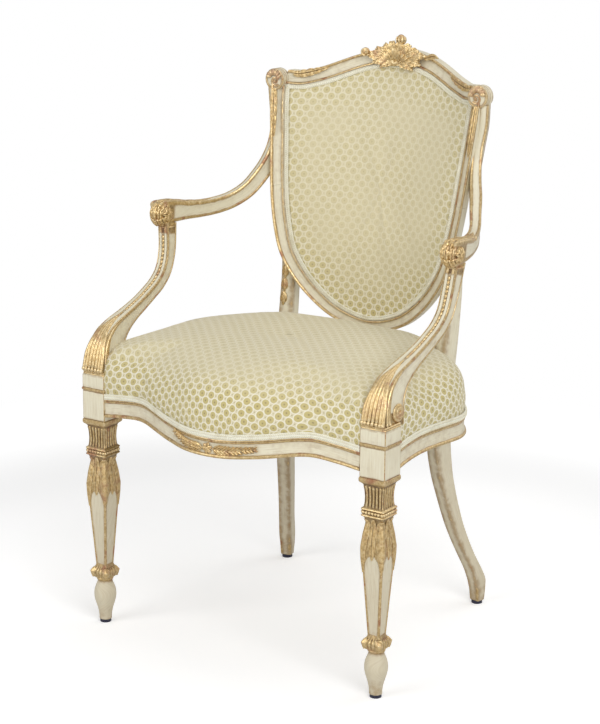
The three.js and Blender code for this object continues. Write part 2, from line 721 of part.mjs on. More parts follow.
// Tenon on the end of a rail: a block from inside the rail into the leg.
function tenon(end, inward, length, grow = 0) {
  const across = new THREE.Vector3(-inward.y, inward.x, 0);
  const low = bandLow + bandHeight / 2 - grow;
  const high = railTop - tenonThickness + grow;
  const half = tenonThickness / 2 + grow;
  const corners = [[-length - grow, -half], [tenonRoot, -half], [tenonRoot, half], [-length - grow, half]];
  const outline = corners.map(([along, sideways]) => {
    const p = end.clone().addScaledVector(inward, along).addScaledVector(across, sideways);
    return new THREE.Vector2(p.x, p.y);
  });
  const rings = [low, high].map((z) => outline.map((p) => new THREE.Vector3(p.x, p.y, z)));
  return skin(rings, outline);
}

// Flat plate of an outline in plan between two heights.
function plate(outline, low, high) {
  const rings = [low, high].map((z) => outline.map((p) => new THREE.Vector3(p.x, p.y, z)));
  return skin(rings, outline.map((p) => new THREE.Vector2(p.x, p.y)));
}

// Screw with a flat head, from its head's place along a direction.
function screw(head, direction, length, grow = 0) {
  const start = head.clone().addScaledVector(direction, -grow);
  const under = head.clone().addScaledVector(direction, screwHeadHeight + grow);
  const tip = head.clone().addScaledVector(direction, length + grow);
  return bar(start, under, screwHeadRadius + grow, 8).add(bar(start, tip, screwRadius + grow, 6));
}

const sides = [[-1, "left"], [1, "right"]];
const vector = (x, y, z = 0) => new THREE.Vector3(x, y, z);

// Joints: each is cut from one piece with a clearance and kept by the other
const frontTenon = (side, grow) => tenon(
  vector(side * (frontEndX - fit), frontEndY + railThickness / 2),
  vector(-side, 0),
  tenonLength,
  grow,
);
const sideStart = (side) => vector(
  side * (sideLine(1)[0].x - railThickness / 2),
  blockHalf + fit,
);
const sideTenon = (side, grow) => tenon(sideStart(side), vector(0, 1), tenonLength, grow);
const rearTenonEnd = (side) => vector(side * (rearLegX - rearLegWidth / 2), rearRailFace - rearTenonSetback);
const rearEnd = rearTenonEnd(1).x - fit;
const rearTenon = (side, grow) => tenon(rearTenonEnd(side), vector(-side, 0), rearTenonLength, grow);
function sideRearTenon(side, grow) {
  const line = sideLine(40);
  const [before, end] = line.slice(-2);
  const inward = vector(side * (before.x - end.x), before.y - end.y).normalize();
  const start = vector(side * end.x, end.y).addScaledVector(inward, sideTenonOverlap);
  start.addScaledVector(vector(-inward.y, inward.x), side * -railThickness / 2);
  return tenon(start, inward, rearTenonLength, grow);
}
const supportTenon = (side, grow = 0) => block(
  [side * legX - supportTenonSide / 2 - grow, -supportTenonSide / 2 - grow, railTop - tenonThickness + fit * 2 - grow],
  [side * legX + supportTenonSide / 2 + grow, supportTenonSide / 2 + grow, blockTop + tenonRoot],
);
const supportDowel = (side, grow = 0) => bar(
  vector(side * supportX, supportTopY, supportTopHeight - armDowelRoot),
  vector(side * supportX, supportTopY, supportTopHeight + armDowelLength + grow),
  dowelRadius + grow,
);
const glidePin = (x, y, grow = 0) => bar(
  vector(x, y, glideHeight - overrun),
  vector(x, y, glideHeight + glidePinLength + grow),
  glidePinRadius + grow,
  8,
);
function crestDowel(side, grow = 0) {
  const height = earHeight;
  const depth = backFace(earX, height) + frameDepth / 2;
  const from = vector(side * (earX - earRadius - armDowelRoot), depth, height);
  const to = vector(side * (earX + grow), depth, height);
  return bar(from, to, dowelRadius + grow);
}
function stileDowel(side, grow = 0) {
  const length = lowerLine.getLength();
  const end = (run) => {
    const share = stileShare + run / length;
    const along = lowerLine.getTangentAt(share);
    const p = backPoint(lowerLine.getPointAt(share), vector(along.z, 0, -along.x), frameBand / 2, frameDepth / 2);
    return p.multiply(vector(side, 1, 1));
  };
  return bar(end(-dowelLength - grow), end(dowelLength + grow), dowelRadius + grow);
}
function armScrew(side, grow = 0) {
  const at = lowerLine.getPointAt(armScrewShare);
  const x = at.x - ledgeWidth - screwHeadHeight - fit;
  const head = vector(side * x, backFace(x, at.z) + armScrewDepth, at.z);
  return screw(head, vector(side, -armScrewSlantShare).normalize(), screwLength, grow);
}
function postScrew(side, grow = 0) {
  const at = lowerLine.getPointAt(postScrewShare);
  const along = lowerLine.getTangentAt(postScrewShare);
  const head = backPoint(at, vector(along.z, 0, -along.x), frameBand / 2, postScrewDepth + postScrewLength);
  return screw(head.multiply(vector(side, 1, 1)), vector(0, -1), postScrewLength, grow);
}

// Closed outline of the back's upholstery, from the bottom middle round by the right.
function padOutline(inset) {
  const rail = stretch(lowerLine, 0, stileShare, railSteps);
  const stile = stretch(lowerLine, stileShare, 1, stileSteps).slice(1);
  const right = [...rail, ...stile, ...stretch(crestLine, 0, 1, crestSteps).slice(1)];
  const outline = [...right, ...mirrored(right.slice(1, -1)).reverse()];
  const normals = outward(outline, true);
  return outline.map((p, i) => p.clone().addScaledVector(normals[i], -inset));
}

// Ring of the back's upholstery, drawn in towards the middle of the shield.
function padRing(inset, share, depth) {
  const middle = (shieldBottom + shoulderHeight + crestRise) / 2;
  return padOutline(inset).map((p) => {
    const x = p.x * share;
    const z = middle + (p.z - middle) * share;
    return new THREE.Vector3(x, backFace(x, z) + depth, z);
  });
}

const padShares = [[0.84, 0.42], [0.42, 1]];

// The rings drawn in towards the middle at one depth, less a share of the pad's crown.
const padFace = (inset, depth, crown) => padShares.map(
  ([share, rise]) => padRing(inset, share, depth - crown * rise),
);

function backCover() {
  const floor = ledgeDepth - canvasThickness - 2 * fit - stuffingGap;
  const inner = fit + backCoverThickness;
  const seam = fit * 2 + backBraidWidth;
  const under = padEdgeDepth + backCoverThickness;
  return skin([
    ...padFace(fit, padEdgeDepth, padCrown).reverse(),
    padRing(seam, 1, padEdgeDepth),
    padRing(fit, 1, padEdgeDepth),
    padRing(fit, 1, floor),
    padRing(inner, 1, floor),
    padRing(inner, 1, under),
    ...padFace(inner, under, padCrown),
  ]);
}

function backStuffing() {
  const floor = ledgeDepth - canvasThickness - 2 * fit - stuffingGap;
  const top = padEdgeDepth + backCoverThickness + fit;
  const inset = backCoverThickness + 2 * fit;
  return skin([
    ...padFace(inset, floor, 0).reverse(),
    padRing(inset, 1, floor),
    padRing(inset, 1, top + fit),
    ...padFace(inset, top, padCrown),
  ]);
}

function backCanvas() {
  const rear = ledgeDepth - 2 * fit;
  const sheet = (depth) => [padRing(fit * 2, 1, depth), ...padFace(fit * 2, depth, 0)];
  return skin([...sheet(rear - canvasThickness).reverse(), ...sheet(rear)]);
}

// Room of the upholstery in front of the ledge.
function padRoom() {
  const near = -earProud - overrun;
  const sheet = (depth) => [padRing(0, 1, depth), ...padFace(0, depth, 0)];
  return skin([...sheet(near).reverse(), ...sheet(ledgeDepth)]);
}

function outsideCover(grow = 0) {
  const front = frameDepth - rearRebateDepth + outsideGap - grow;
  const rear = front + outsideCoverThickness + 2 * grow;
  const edge = fit - rearRebateWidth - grow;
  const lap = ledgeWidth + overrun; // flat over the ledge
  const sheet = (depth) => [padRing(edge, 1, depth), padRing(lap, 1, depth), ...padFace(lap, depth, 0).slice(1)];
  return skin([...sheet(front).reverse(), ...sheet(rear)]);
}

// Braid round the back, between two insets of the outline and two depths.
function backBraidLoop(from, to, near, far) {
  const rings = [[from, near], [to, near], [to, far], [from, far]].map(([inset, depth]) => padRing(inset, 1, depth));
  return hoop(rings[0].map((unused, i) => rings.map((ring) => ring[i])));
}

function backBraid() {
  const under = padEdgeDepth - fit;
  return backBraidLoop(fit, fit + backBraidWidth, under - braidThickness, under);
}

function outsideBraid(grow = 0) {
  const near = frameDepth - rearRebateDepth + outsideGap + outsideCoverThickness + fit;
  const from = fit - rearRebateWidth;
  return backBraidLoop(from - grow, from + backBraidWidth + grow, near - grow, near + braidThickness + grow);
}

// Cresting: half outline above its low edge, as shares of its half width and height
const crestingShares = [
  [0, 1], [0.12, 0.95], [0.2, 0.8], [0.3, 0.9], [0.42, 0.82], [0.46, 0.66], [0.6, 0.72], [0.7, 0.6],
  [0.72, 0.46], [0.86, 0.5], [1, 0.38], [0.96, 0.16], [0.78, 0.06], [0.5, 0.12], [0.25, 0.02], [0, 0],
];

function crestingBody() {
  const right = crestingShares.map(([x, z]) => new THREE.Vector3(
    x * crestingHalfWidth, 0, crestingLow + z * crestingHeight,
  ));
  const outline = [...right, ...mirrored(right.slice(1, -1)).reverse()];
  const rings = [-crestingProud, crestingDepth - crestingProud].map((depth) => outline.map(
    (p) => new THREE.Vector3(p.x, backFace(p.x, p.z) + depth, p.z),
  ));
  return skin(rings, outline.map((p) => new THREE.Vector2(p.x, p.z)));
}

// Heights of the seat's layers above the rails
const crossStrapLow = railTop + fit;
const longStrapLow = crossStrapLow + webbingThickness + fit;
const canvasLow = longStrapLow + webbingThickness + fit;

// Closed outline of the seat in plan, from the front middle round by the right; z is the band's top.
function seatOutline(inset) {
  const front = frontLine([...frontPlaces, frontEndX - fit]);
  const side = sideLine(sideCount).slice(0, -1);
  const post = vector(rearLegX, rearLegY, rearLow);
  const rear = steps(rearEnd, 0, 2).map((x) => vector(x, rearRailFace, rearLow));
  front.push(vector(frontEndX + frontGap, frontEndY, frontLow(frontEndX)));
  side.unshift(vector(side[0].x, blockHalf - frontGap, side[0].z));
  const right = [...front, ...side, post, ...rear];
  const outline = [...right, ...mirrored(right.slice(1, -1)).reverse()];
  return outline.map((p, i) => {
    const before = outline[(i + outline.length - 1) % outline.length];
    const after = outline[(i + 1) % outline.length];
    const out = vector(after.y - before.y, before.x - after.x).normalize();
    return vector(p.x - out.x * inset, p.y - out.y * inset, p.z + bandHeight);
  });
}

// Rings of the seat's dome: a wall that leans out and in again, then a crown.
const wallShares = [[0.11, 1], [0.3, -0.4], [0.49, 1.4]];
const crownShares = [[0.965, 0.65], [0.91, 0.79], [0.78, 0.89], [0.54, 0.965], [0.22, 1]];

function seatRings(drop) {
  const crownTop = railTop + seatCrown;
  const wall = wallShares.map(([up, inset]) => seatOutline(inset * skirtInset + drop).map(
    (p) => vector(p.x, p.y, p.z + (crownTop - p.z) * up - drop),
  ));
  const middleY = (rearRailFace + frontFace(0)) / 2;
  const crown = crownShares.map(([share, up]) => seatOutline(drop).map(
    (p) => vector(p.x * share, middleY + (p.y - middleY) * share, p.z + (crownTop - p.z) * up - drop),
  ));
  return [...wall, ...crown];
}

function seatCover() {
  const bottom = (inset) => seatOutline(inset).map((p) => vector(p.x, p.y, p.z + fit));
  const outer = [bottom(skirtInset), ...seatRings(0)];
  const inner = [bottom(skirtInset + coverThickness), ...seatRings(coverThickness)];
  return skin([...outer.reverse(), ...inner]);
}

function seatStuffing() {
  const rings = seatRings(coverThickness + stuffingGap).slice(2);
  const low = rings[0].map((p) => vector(p.x, p.y, canvasLow + canvasThickness + fit));
  return skin([low, ...rings]);
}

// Rail's outer face across the seat at one depth of the side rail.
function sideFace(y) {
  return sideLine(60).reduce((best, p) => (Math.abs(p.y - y) < Math.abs(best.y - y) ? p : best));
}

// Loop of braid round the seat's lower edge.
function seatBraid() {
  const back = braidThickness - braidProud;
  const low = fit;
  const high = fit + braidHeight;
  const rings = [[back, low], [-braidProud, low], [-braidProud, high], [back, high]].map(
    ([inset, up]) => seatOutline(inset).map((p) => vector(p.x, p.y, p.z + up)),
  );
  return hoop(rings[0].map((unused, i) => rings.map((ring) => ring[i])));
}

// Strap between two ends given by their corners; rises are [share of the length, height above].
function strap(from, to, rises) {
  const rings = rises.map(([share, height]) => {
    const [left, right] = [0, 1].map((k) => from[k].clone().lerp(to[k], share).setZ(height));
    const up = vector(0, 0, webbingThickness);
    return [left, right, right.clone().add(up), left.clone().add(up)];
  });
  const flat = [[0, 0], [1, 0], [1, 1], [0, 1]].map(([x, y]) => new THREE.Vector2(x, y));
  return skin(rings, flat);
}

const strapEdges = (middle) => [middle - webbingWidth / 2, middle + webbingWidth / 2];

function crossStrap(y) {
  const end = (side) => strapEdges(y).map((edge) => vector(side * (sideFace(edge).x - strapInset), edge));
  return strap(end(-1), end(1), [[0, crossStrapLow], [1, crossStrapLow]]);
}

function longStrap(x) {
  const front = strapEdges(x).map((edge) => vector(edge, frontFace(edge) + strapInset));
  const rear = strapEdges(x).map((edge) => vector(edge, rearRailFace - strapInset));
  const bends = [[0, 0], [strapBendShares[0], 0], [strapBendShares[1], 1]];
  const mirrorBends = bends.map(([share, up]) => [1 - share, up]).reverse();
  const rise = longStrapLow - crossStrapLow;
  return strap(front, rear, [...bends, ...mirrorBends].map(([share, up]) => [share, crossStrapLow + up * rise]));
}

// Corner block's outline in plan: from the rail across the leg to the side rail.
const frontBlockOutline = (side) => [
  vector(side * (frontEndX - blockReach), frontFace(frontEndX - blockReach) + railThickness / 2),
  vector(side * legX, 0),
  vector(side * (sideFace(blockHalf + blockReach).x - railThickness / 2), blockHalf + blockReach),
];
const rearBlockOutline = (side) => [
  vector(side * (rearLegX - rearBlockReach), rearLegY),
  vector(side * rearLegX, rearLegY),
  vector(side * seatHalfWidth, rearLegY - rearBlockRun),
];

function cornerBlock(outline) {
  const core = seatOutline(rebate);
  return plate(outline, blockLow, blockHigh).intersect(plate(core, blockLow - overrun, blockHigh + overrun));
}

// Screw through a corner block square into a rail, at one place of the rail's line.
function railScrew(line, at, side, grow = 0) {
  const normals = outwardPlan(line);
  const nearest = line.reduce((best, p, i) => (p.distanceTo(at) < line[best].distanceTo(at) ? i : best), 0);
  const normal = normals[nearest].clone().multiply(vector(side, 1));
  const head = line[nearest].clone().multiply(vector(side, 1)).setZ((blockLow + blockHigh) / 2);
  head.addScaledVector(normal, -railThickness - blockScrewLength / 2);
  const body = screw(head, normal, blockScrewLength, grow);
  if (grow === 0) return body;
  return body.add(bar(head.clone().addScaledVector(normal, -screwPocket), head, screwHeadRadius + grow, 8));
}

function outwardPlan(line) {
  return line.map((unused, i) => {
    const before = line[Math.max(i - 1, 0)];
    const after = line[Math.min(i + 1, line.length - 1)];
    return vector(after.y - before.y, before.x - after.x).normalize();
  });
}

const facing = (side, line) => (side > 0 ? line : mirrored(line).reverse());

// Cuts every one of some solids out of a solid.
const without = (solid, ...rooms) => rooms.reduce((rest, room) => rest.subtract(room), solid);
const joined = (solid, ...more) => more.reduce((sum, part) => sum.add(part), solid);
const mainBody = (solid) => solid.decompose().reduce((best, part) => (part.volume() > best.volume() ? part : best));
const both = (make) => sides.map(([side]) => make(side));

// Rails' lines and the pieces that are cut by both sides' joints
const rightFront = frontLine([...frontPlaces, frontEndX - fit]);
const wholeFront = [...mirrored(rightFront.slice(1)).reverse(), ...rightFront];
const sideRailLine = sideLine(sideCount);
const rearLine = [vector(rearEnd, rearRailFace, rearLow), vector(-rearEnd, rearRailFace, rearLow)];
const frontScrewAt = vector(frontEndX - blockScrewPlace, frontFace(frontEndX - blockScrewPlace), bandLow);
const sideScrewAt = sideFace(blockHalf + blockScrewPlace);
const rearScrewAt = vector(rearLegX - rearScrewPlace, rearRailFace, rearLow);
const rearSideScrewAt = sideFace(rearLegY - rearSideScrewPlace);
const blockScrews = (side, grow) => ({
  front_block_front: railScrew(frontLine(steps(0, frontEndX, 40)), frontScrewAt, side, grow),
  front_block_side: railScrew(sideLine(40), sideScrewAt, side, grow),
  rear_block_rear: railScrew(steps(rearEnd, -rearEnd, 40).map((x) => vector(x, rearRailFace)), rearScrewAt, side, grow),
  rear_block_side: railScrew(sideLine(40), rearSideScrewAt, side, grow),
});
const screwRooms = (side) => Object.values(blockScrews(side, fit));

const frontRail = joined(
  without(railAlong(wholeFront), ...both((side) => frontLegBody(side, fit)), ...both(screwRooms).flat()),
  ...both((side) => frontTenon(side, 0)),
);
const rearRail = joined(
  without(railAlong(rearLine), ...both((side) => rearLegBody(side, fit)), ...both(screwRooms).flat()),
  ...both((side) => rearTenon(side, 0)),
);
const crest = joined(
  without(crestBody(), ...both((side) => stileBody(side, fit)), ...both((side) => earBody(side, fit))),
  ...both((side) => crestDowel(side)),
);

// Frame
place("front_seat_rail", frontRail, paint);
place("rear_seat_rail", rearRail, paint);
place("bottom_shield_rail", without(
  joined(bottomRailBody(), ...both((side) => stileDowel(side))),
  ...both((side) => postScrew(side, fit)),
), paint);
place("crest_rail", crest, paint);
place("crest_carving", crestingBody().subtract(crestBody(fit)), gilt);
for (const [side, name] of sides) {
  const x = side * legX;
  place(name + "_front_leg", without(
    frontLegBody(side),
    frontTenon(side, fit),
    sideTenon(side, fit),
    supportTenon(side, fit),
    glidePin(x, 0, fit),
  ), paint);

  const sideRail = without(
    railAlong(facing(side, sideRailLine)),
    frontLegBody(side, fit),
    rearLegBody(side, fit),
    ...screwRooms(side),
  );
  place(name + "_seat_rail", joined(sideRail, sideTenon(side, 0), sideRearTenon(side, 0)), paint);

  place(name + "_rear_leg", mainBody(without(
    rearLegBody(side),
    bottomRailBody(fit),
    stileBody(side, fit),
    outsideBraid(fit),
    outsideCover(fit),
    rearTenon(side, fit),
    sideRearTenon(side, fit),
    glidePin(side * rearFootX, rearFootY, fit),
    postScrew(side, fit),
  )), paint);

  place(name + "_back_stile", without(
    stileBody(side).subtract(armBody(side, fit)).add(earBody(side)).subtract(padRoom()),
    bottomRailBody(fit),
    crestDowel(side, fit),
    stileDowel(side, fit),
    armScrew(side, fit),
    postScrew(side, fit),
  ), paint);

  const support = supportBody(side).subtract(armBody(side, fit));
  place(name + "_arm_support", joined(support, supportTenon(side), supportDowel(side)), paint);
  place(name + "_arm", without(
    armBody(side),
    earBody(side, fit),
    supportDowel(side, fit),
    armScrew(side, fit),
  ), paint);

  const blockRooms = [
    railAlong(wholeFront, fit),
    railAlong(rearLine, fit),
    railAlong(facing(side, sideRailLine), fit),
    frontLegBody(side, fit),
    rearLegBody(side, fit),
    frontTenon(side, fit),
    sideTenon(side, fit),
    rearTenon(side, fit),
    sideRearTenon(side, fit),
    ...screwRooms(side),
  ];
  for (const [where, outline] of [["front", frontBlockOutline(side)], ["rear", rearBlockOutline(side)]]) {
    place(name + "_" + where + "_corner_block", mainBody(without(cornerBlock(outline), ...blockRooms)), beech);
  }

  // Fixings and glides
  place(name + "_arm_screw", armScrew(side), steel);
  place(name + "_post_screw", postScrew(side), steel);
  for (const [where, body] of Object.entries(blockScrews(side))) {
    place(name + "_" + where + "_screw", body, steel);
  }
  for (const [end, glideX, glideY] of [["front", x, 0], ["rear", side * rearFootX, rearFootY]]) {
    const disc = bar(vector(glideX, glideY, 0), vector(glideX, glideY, glideHeight), glideRadius, 16);
    place(name + "_" + end + "_glide", disc.add(glidePin(glideX, glideY)), darkNylon);
  }
}

// Seat upholstery
const legRooms = [...both((side) => frontLegBody(side, fit)), ...both((side) => rearLegBody(side, fit))];
const armRooms = both((side) => supportBody(side, fit));
place("seat_cover", without(seatCover(), ...legRooms, ...armRooms), velvet);
place("seat_stuffing", without(seatStuffing(), ...legRooms, ...armRooms), horsehair);
const canvas = plate(seatOutline(strapInset), canvasLow, canvasLow + canvasThickness);
place("seat_canvas", without(canvas, ...legRooms), linen);
crossStrapShares.forEach((share, i) => place("cross_webbing_" + (i + 1), crossStrap(share * rearLegY), linen));
[-1, 0, 1].forEach((row, i) => place("long_webbing_" + (i + 1), longStrap(row * longStrapSpacing), linen));
for (const piece of without(seatBraid(), ...legRooms).decompose()) {
  const { min, max } = piece.boundingBox();
  const across = (min[0] + max[0]) / 2;
  const level = Math.abs(across) < legX / 2;
  const where = level ? (min[1] < 0 ? "front" : "rear") : (across < 0 ? "left" : "right");
  place("seat_braid_" + where, piece, braid);
}

// Back upholstery
place("back_cover", backCover(), velvet);
place("back_stuffing", backStuffing(), horsehair);
place("back_canvas", backCanvas(), linen);
place("back_braid", backBraid(), braid);
place("outside_back_cover", outsideCover(), velvet);
place("outside_back_braid", outsideBraid(), braid);

// The middle of the chair's box stands over the origin, its glides on the floor.
const box = new THREE.Box3().setFromObject(chair);
chair.position.y = -(box.min.y + box.max.y) / 2;

export default chair;
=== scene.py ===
# Shield back armchair: painted and gilt frame, stuffed-over seat and padded back.
# Shapes are worked out in millimetres from the front legs' axis, and turned to metres at the end.
import math

import bpy
import numpy as np
from mathutils import Matrix, Vector


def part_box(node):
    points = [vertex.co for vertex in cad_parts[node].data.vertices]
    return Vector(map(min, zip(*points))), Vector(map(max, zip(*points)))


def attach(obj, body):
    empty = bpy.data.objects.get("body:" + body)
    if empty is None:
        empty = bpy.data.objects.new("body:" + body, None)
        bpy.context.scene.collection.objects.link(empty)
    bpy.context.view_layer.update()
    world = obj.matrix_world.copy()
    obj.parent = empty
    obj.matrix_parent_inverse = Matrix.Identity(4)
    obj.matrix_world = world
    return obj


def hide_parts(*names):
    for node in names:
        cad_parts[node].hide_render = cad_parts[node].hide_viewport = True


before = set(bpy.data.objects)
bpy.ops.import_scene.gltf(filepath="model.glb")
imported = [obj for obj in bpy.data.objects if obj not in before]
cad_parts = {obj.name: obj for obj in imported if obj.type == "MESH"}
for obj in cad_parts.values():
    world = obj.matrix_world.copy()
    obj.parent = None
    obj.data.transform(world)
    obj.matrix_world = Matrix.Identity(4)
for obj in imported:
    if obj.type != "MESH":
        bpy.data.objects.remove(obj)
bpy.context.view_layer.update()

bl_info = {
    "name": "Shield back armchair",
    "version": (1, 0, 0),
    "blender": (4, 5, 0),
    "location": "3D View > Sidebar > Armchair",
    "description": "Dresses a shield back armchair in paint, gilding, velvet and braid",
    "category": "Object",
}

MM = 0.001
SIDES = ((1, "right"), (-1, "left"))


def axis_depth():
    """Depth of the front legs' axis in the frame, in millimetres."""
    low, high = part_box("left_front_leg")
    return (low.y + high.y) / 2 / MM


AXIS_Y = axis_depth()

# Front legs
LEG_X = 270.0
BLOCK_HALF = 22.7
BLOCK_LOW = 358.7
BLOCK_TOP = 434.7

# Seat rails and seat plan
RAIL_TOP = 425.0
RAIL_THICK = 25.0
BAND = 29.5
REBATE = 5.0
FRONT_END_X = LEG_X - BLOCK_HALF
FRONT_END_Y = -21.2
FRONT_BOW = 59.5
FRONT_LOW = 361.0
FRONT_ARCH = 15.0
SEAT_HALF = 288.0
SIDE_LOW = 364.0
SIDE_ARCH = 5.0
REAR_LOW = 366.0
REAR_X = 160.5
REAR_Y = 366.0
REAR_FACE = 379.0
FOOT_SPREAD = 40.1
FOOT_REACH = 75.0
REAR_WIDE = 25.0
REAR_DEEP = 35.5
REAR_TURN = math.radians(12)
SEAT_CROWN = 507.0

# Shield back
SHIELD_HALF = 185.0
SHIELD_LOW = 486.0
SHOULDER = 877.0
CREST_RISE = 42.0
BACK_BASE = 387.0
BACK_LEAN = math.tan(math.radians(10.73))
BACK_HOLLOW = 61.5
FRAME_BAND = 20.0
CREST_BAND = 23.5
STILE_SHARE = 0.64
EAR = (200.0, 884.5)

# Arms and supports
SHOULDER_X = 206.5
SHOULDER_Y = 405.0
ARM_START = 872.0
HAND_X = 285.0
HAND_Y = 172.0
ARM_LEVEL = 671.0
ARM_WIDE = 19.0
ARM_DEEP = 27.0
ARM_HUG = 7.7
SUPPORT_X = 276.0
SUPPORT_Y = 192.0
SUPPORT_TOP = 656.0
SUPPORT_BASE_Y = 7.0
SUPPORT_WIDE = 22.5
SUPPORT_DEEP = 20.0

FRONT_BOW_SHARES = ((0, 1), (0.162, 0.94), (0.324, 0.7), (0.485, 0.44), (0.647, 0.17), (0.83, 0.04), (1, 0))
FRONT_ARCH_SHARES = ((0, 0), (0.324, 0.3), (0.647, 1), (0.85, 0.72), (1, 0.4))
SIDE_X_SHARES = (0.9865, 0.9505, 0.9347, 0.9437, 0.9685, 0.9662, 0.8897, 0.721, 0.4848, 0.2485, 0.0573)
SIDE_Y_SHARES = (0, 0.11, 0.225, 0.345, 0.465, 0.57, 0.66, 0.755, 0.845, 0.915, 0.965)
SIDE_ARCH_SHARES = (0, 0.6, 1, 1, 0.8, 0.5, 0.3, 0.2, 0.2, 0.2, 0.2)
REAR_LEG_SHARES = (
    (0.014, 1, 1, 0.78, 0.46), (0.033, 1, 1, 0.82, 0.5), (0.07, 0.995, 1, 0.88, 0.56),
    (0.125, 0.975, 0.97, 0.9, 0.76), (0.181, 0.868, 0.872, 0.94, 0.66), (0.251, 0.696, 0.723, 0.92, 0.64),
    (0.335, 0.506, 0.568, 0.92, 0.68), (0.418, 0.347, 0.433, 0.94, 0.72), (0.502, 0.224, 0.321, 0.97, 0.76),
    (0.585, 0.12, 0.22, 0.98, 0.82), (0.669, 0.017, 0.133, 0.97, 0.92), (0.753, -0.05, 0.077, 0.94, 1.03),
    (0.836, -0.09, 0.035, 0.93, 1.1), (1, -0.07, 0.015, 0.95, 1.1), (1.126, -0.03, 0.04, 0.97, 1.03),
    (1.338, 0, 0.2, 1.05, 0.9), (1.533, 0.031, 0.317, 1, 0.8), (1.66, 0.1, 0.342, 0.96, 0.58),
    (1.75, 0.186, 0.34, 0.9, 0.34),
)
LOWER_SHARES = (
    (0, 0), (0.15, 0.011), (0.36, 0.05), (0.545, 0.118), (0.69, 0.197), (0.795, 0.284), (0.858, 0.384),
    (0.9, 0.487), (0.928, 0.589), (0.948, 0.69), (0.968, 0.795), (0.988, 0.896), (1, 1),
)
CREST_SHARES = (
    (1, 0), (0.93, -0.03), (0.865, -0.03), (0.79, 0.04), (0.655, 0.22), (0.52, 0.46), (0.38, 0.7),
    (0.23, 0.89), (0.1, 0.98), (0, 1),
)
ARM_X_SHARES = (0, 0, 0, 0, 0, 0.09, 0.25, 0.44, 0.61, 0.755, 0.88, 0.965, 1, 1, 1)
ARM_HUG_SHARES = (0, 0.459, 1, 0.907, 0.255, 0, 0, 0, 0, 0, 0, 0, 0, 0, 0)
ARM_Y_SHARES = (
    1, 1.009, 0.991, 0.957, 0.905, 0.845, 0.752, 0.644, 0.524, 0.391, 0.262, 0.133, 0, -0.036, -0.053,
)
ARM_Z_SHARES = (1, 0.816, 0.642, 0.502, 0.368, 0.25, 0.126, 0.047, 0.01, -0.002, 0, 0.01, 0.012, 0.008, 0.005)
ARM_WIDE_SHARES = (0.9, 0.95, 0.95, 0.93, 1, 1.05, 1, 0.97, 1, 1.1, 1.22, 1.34, 1.34, 1.1, 0.6)
ARM_DEEP_SHARES = (0.9, 1, 1, 1, 1, 1, 1, 1, 1.02, 1.04, 1.12, 1.38, 1.5, 1.15, 0.6)
ARM_TURNS = (19, 19, 19, 26, 34, 37, 35, 30, 25, 22, 17, 10, 2, 0, 0)
SUPPORT_Y_SHARES = (1, 0.958, 0.89, 0.785, 0.66, 0.53, 0.41, 0.3, 0.19, 0.1, 0.045, 0.01, 0)
SUPPORT_Z_SHARES = (1, 0.78, 0.64, 0.553, 0.494, 0.44, 0.397, 0.356, 0.308, 0.252, 0.19, 0.085, 0)
SUPPORT_DEEP_SHARES = (1.32, 1.14, 1.03, 0.98, 0.95, 1, 1.08, 1.3, 1.75, 2.3, 2.65, 2.85, 2.9)
SUPPORT_WIDE_SHARES = (0.97, 0.97, 0.98, 1, 1.02, 1.04, 1.1, 1.18, 1.28, 1.4, 1.52, 1.66, 1.74)
SUPPORT_TILTS = (8, 17, 32, 50, 62, 68, 68, 64, 54, 40, 24, 8, 0)

# Front leg from the top down: height, half width, and how gilt the row is or how deep its reeds are
BLOCK_ROWS = (
    (434.7, 21.4, 0), (434.5, 22.3, 0.2), (433.6, 22.7, 0.3), (430, 22.7, 0), (420, 22.7, 0),
    (413.4, 22.7, 0.2), (412.4, 22.8, 0.7), (411.8, 23.7, 1), (410, 23.95, 1), (408.6, 23.7, 1),
    (407.6, 22.8, 0.8), (406.4, 22.2, 0.5), (405, 22.6, 0.1), (390, 22.7, 0), (375, 22.7, 0),
    (364, 22.7, 0), (360.4, 22.7, 0.25), (359.2, 22.4, 0.7), (358.6, 22.5, 0.9), (357.8, 23.4, 1),
    (355, 23.75, 1), (352, 23.5, 1), (350.4, 22.4, 1), (348.6, 20, 1), (346.8, 18.6, 1),
)
CAPITAL_ROWS = (
    (345, 18.0, 0.6), (343.6, 18.3, 2.4), (340, 17.6, 2.8), (334, 16.9, 2.8), (326, 16.5, 2.8),
    (318, 16.8, 2.8), (313, 17.4, 2.4), (311.4, 17.8, 0.6),
)
BEAD_BED_ROWS = (
    (310.6, 18.6), (309.4, 20.2), (308, 20.8), (306.8, 20.2), (306, 19), (303, 18.6), (300, 19),
    (299, 20.2), (297.8, 20.8), (296.4, 20), (295.6, 18),
)
SHAFT_ROWS = (
    (80, 14.5), (92, 17), (97, 14), (102, 10.8), (226, 18.7), (246, 19.3), (266, 17.15), (286, 13.75),
    (296, 17.7),
)
COLLAR_ROWS = (
    (98.5, 12.2, 0.6), (96, 14.6, 1), (93, 16.6, 1.2), (89.5, 16.9, 1.4), (85, 15.8, 1.4), (81.5, 14.7, 1),
    (80.2, 13.4, 0.3),
)
# Turned foot from the floor up: radius, height and how gilt the row is
FOOT_ROWS = (
    (9.6, 5.2, 0.3), (10.4, 5.8, 0.35), (10.4, 10, 0.3), (11.2, 17, 0.25), (13, 25.5, 0.2),
    (15.2, 32.5, 0.12), (17.3, 39.8, 0), (18.4, 46, 0), (18.6, 51, 0), (18.0, 57, 0), (16.4, 63, 0),
    (14.0, 69, 0.1), (12.6, 73, 0.3), (12.2, 75, 0.6), (13.4, 76.2, 0.9), (14.2, 78, 0.9), (13.6, 80, 0.9),
    (12, 80.6, 0.6),
)
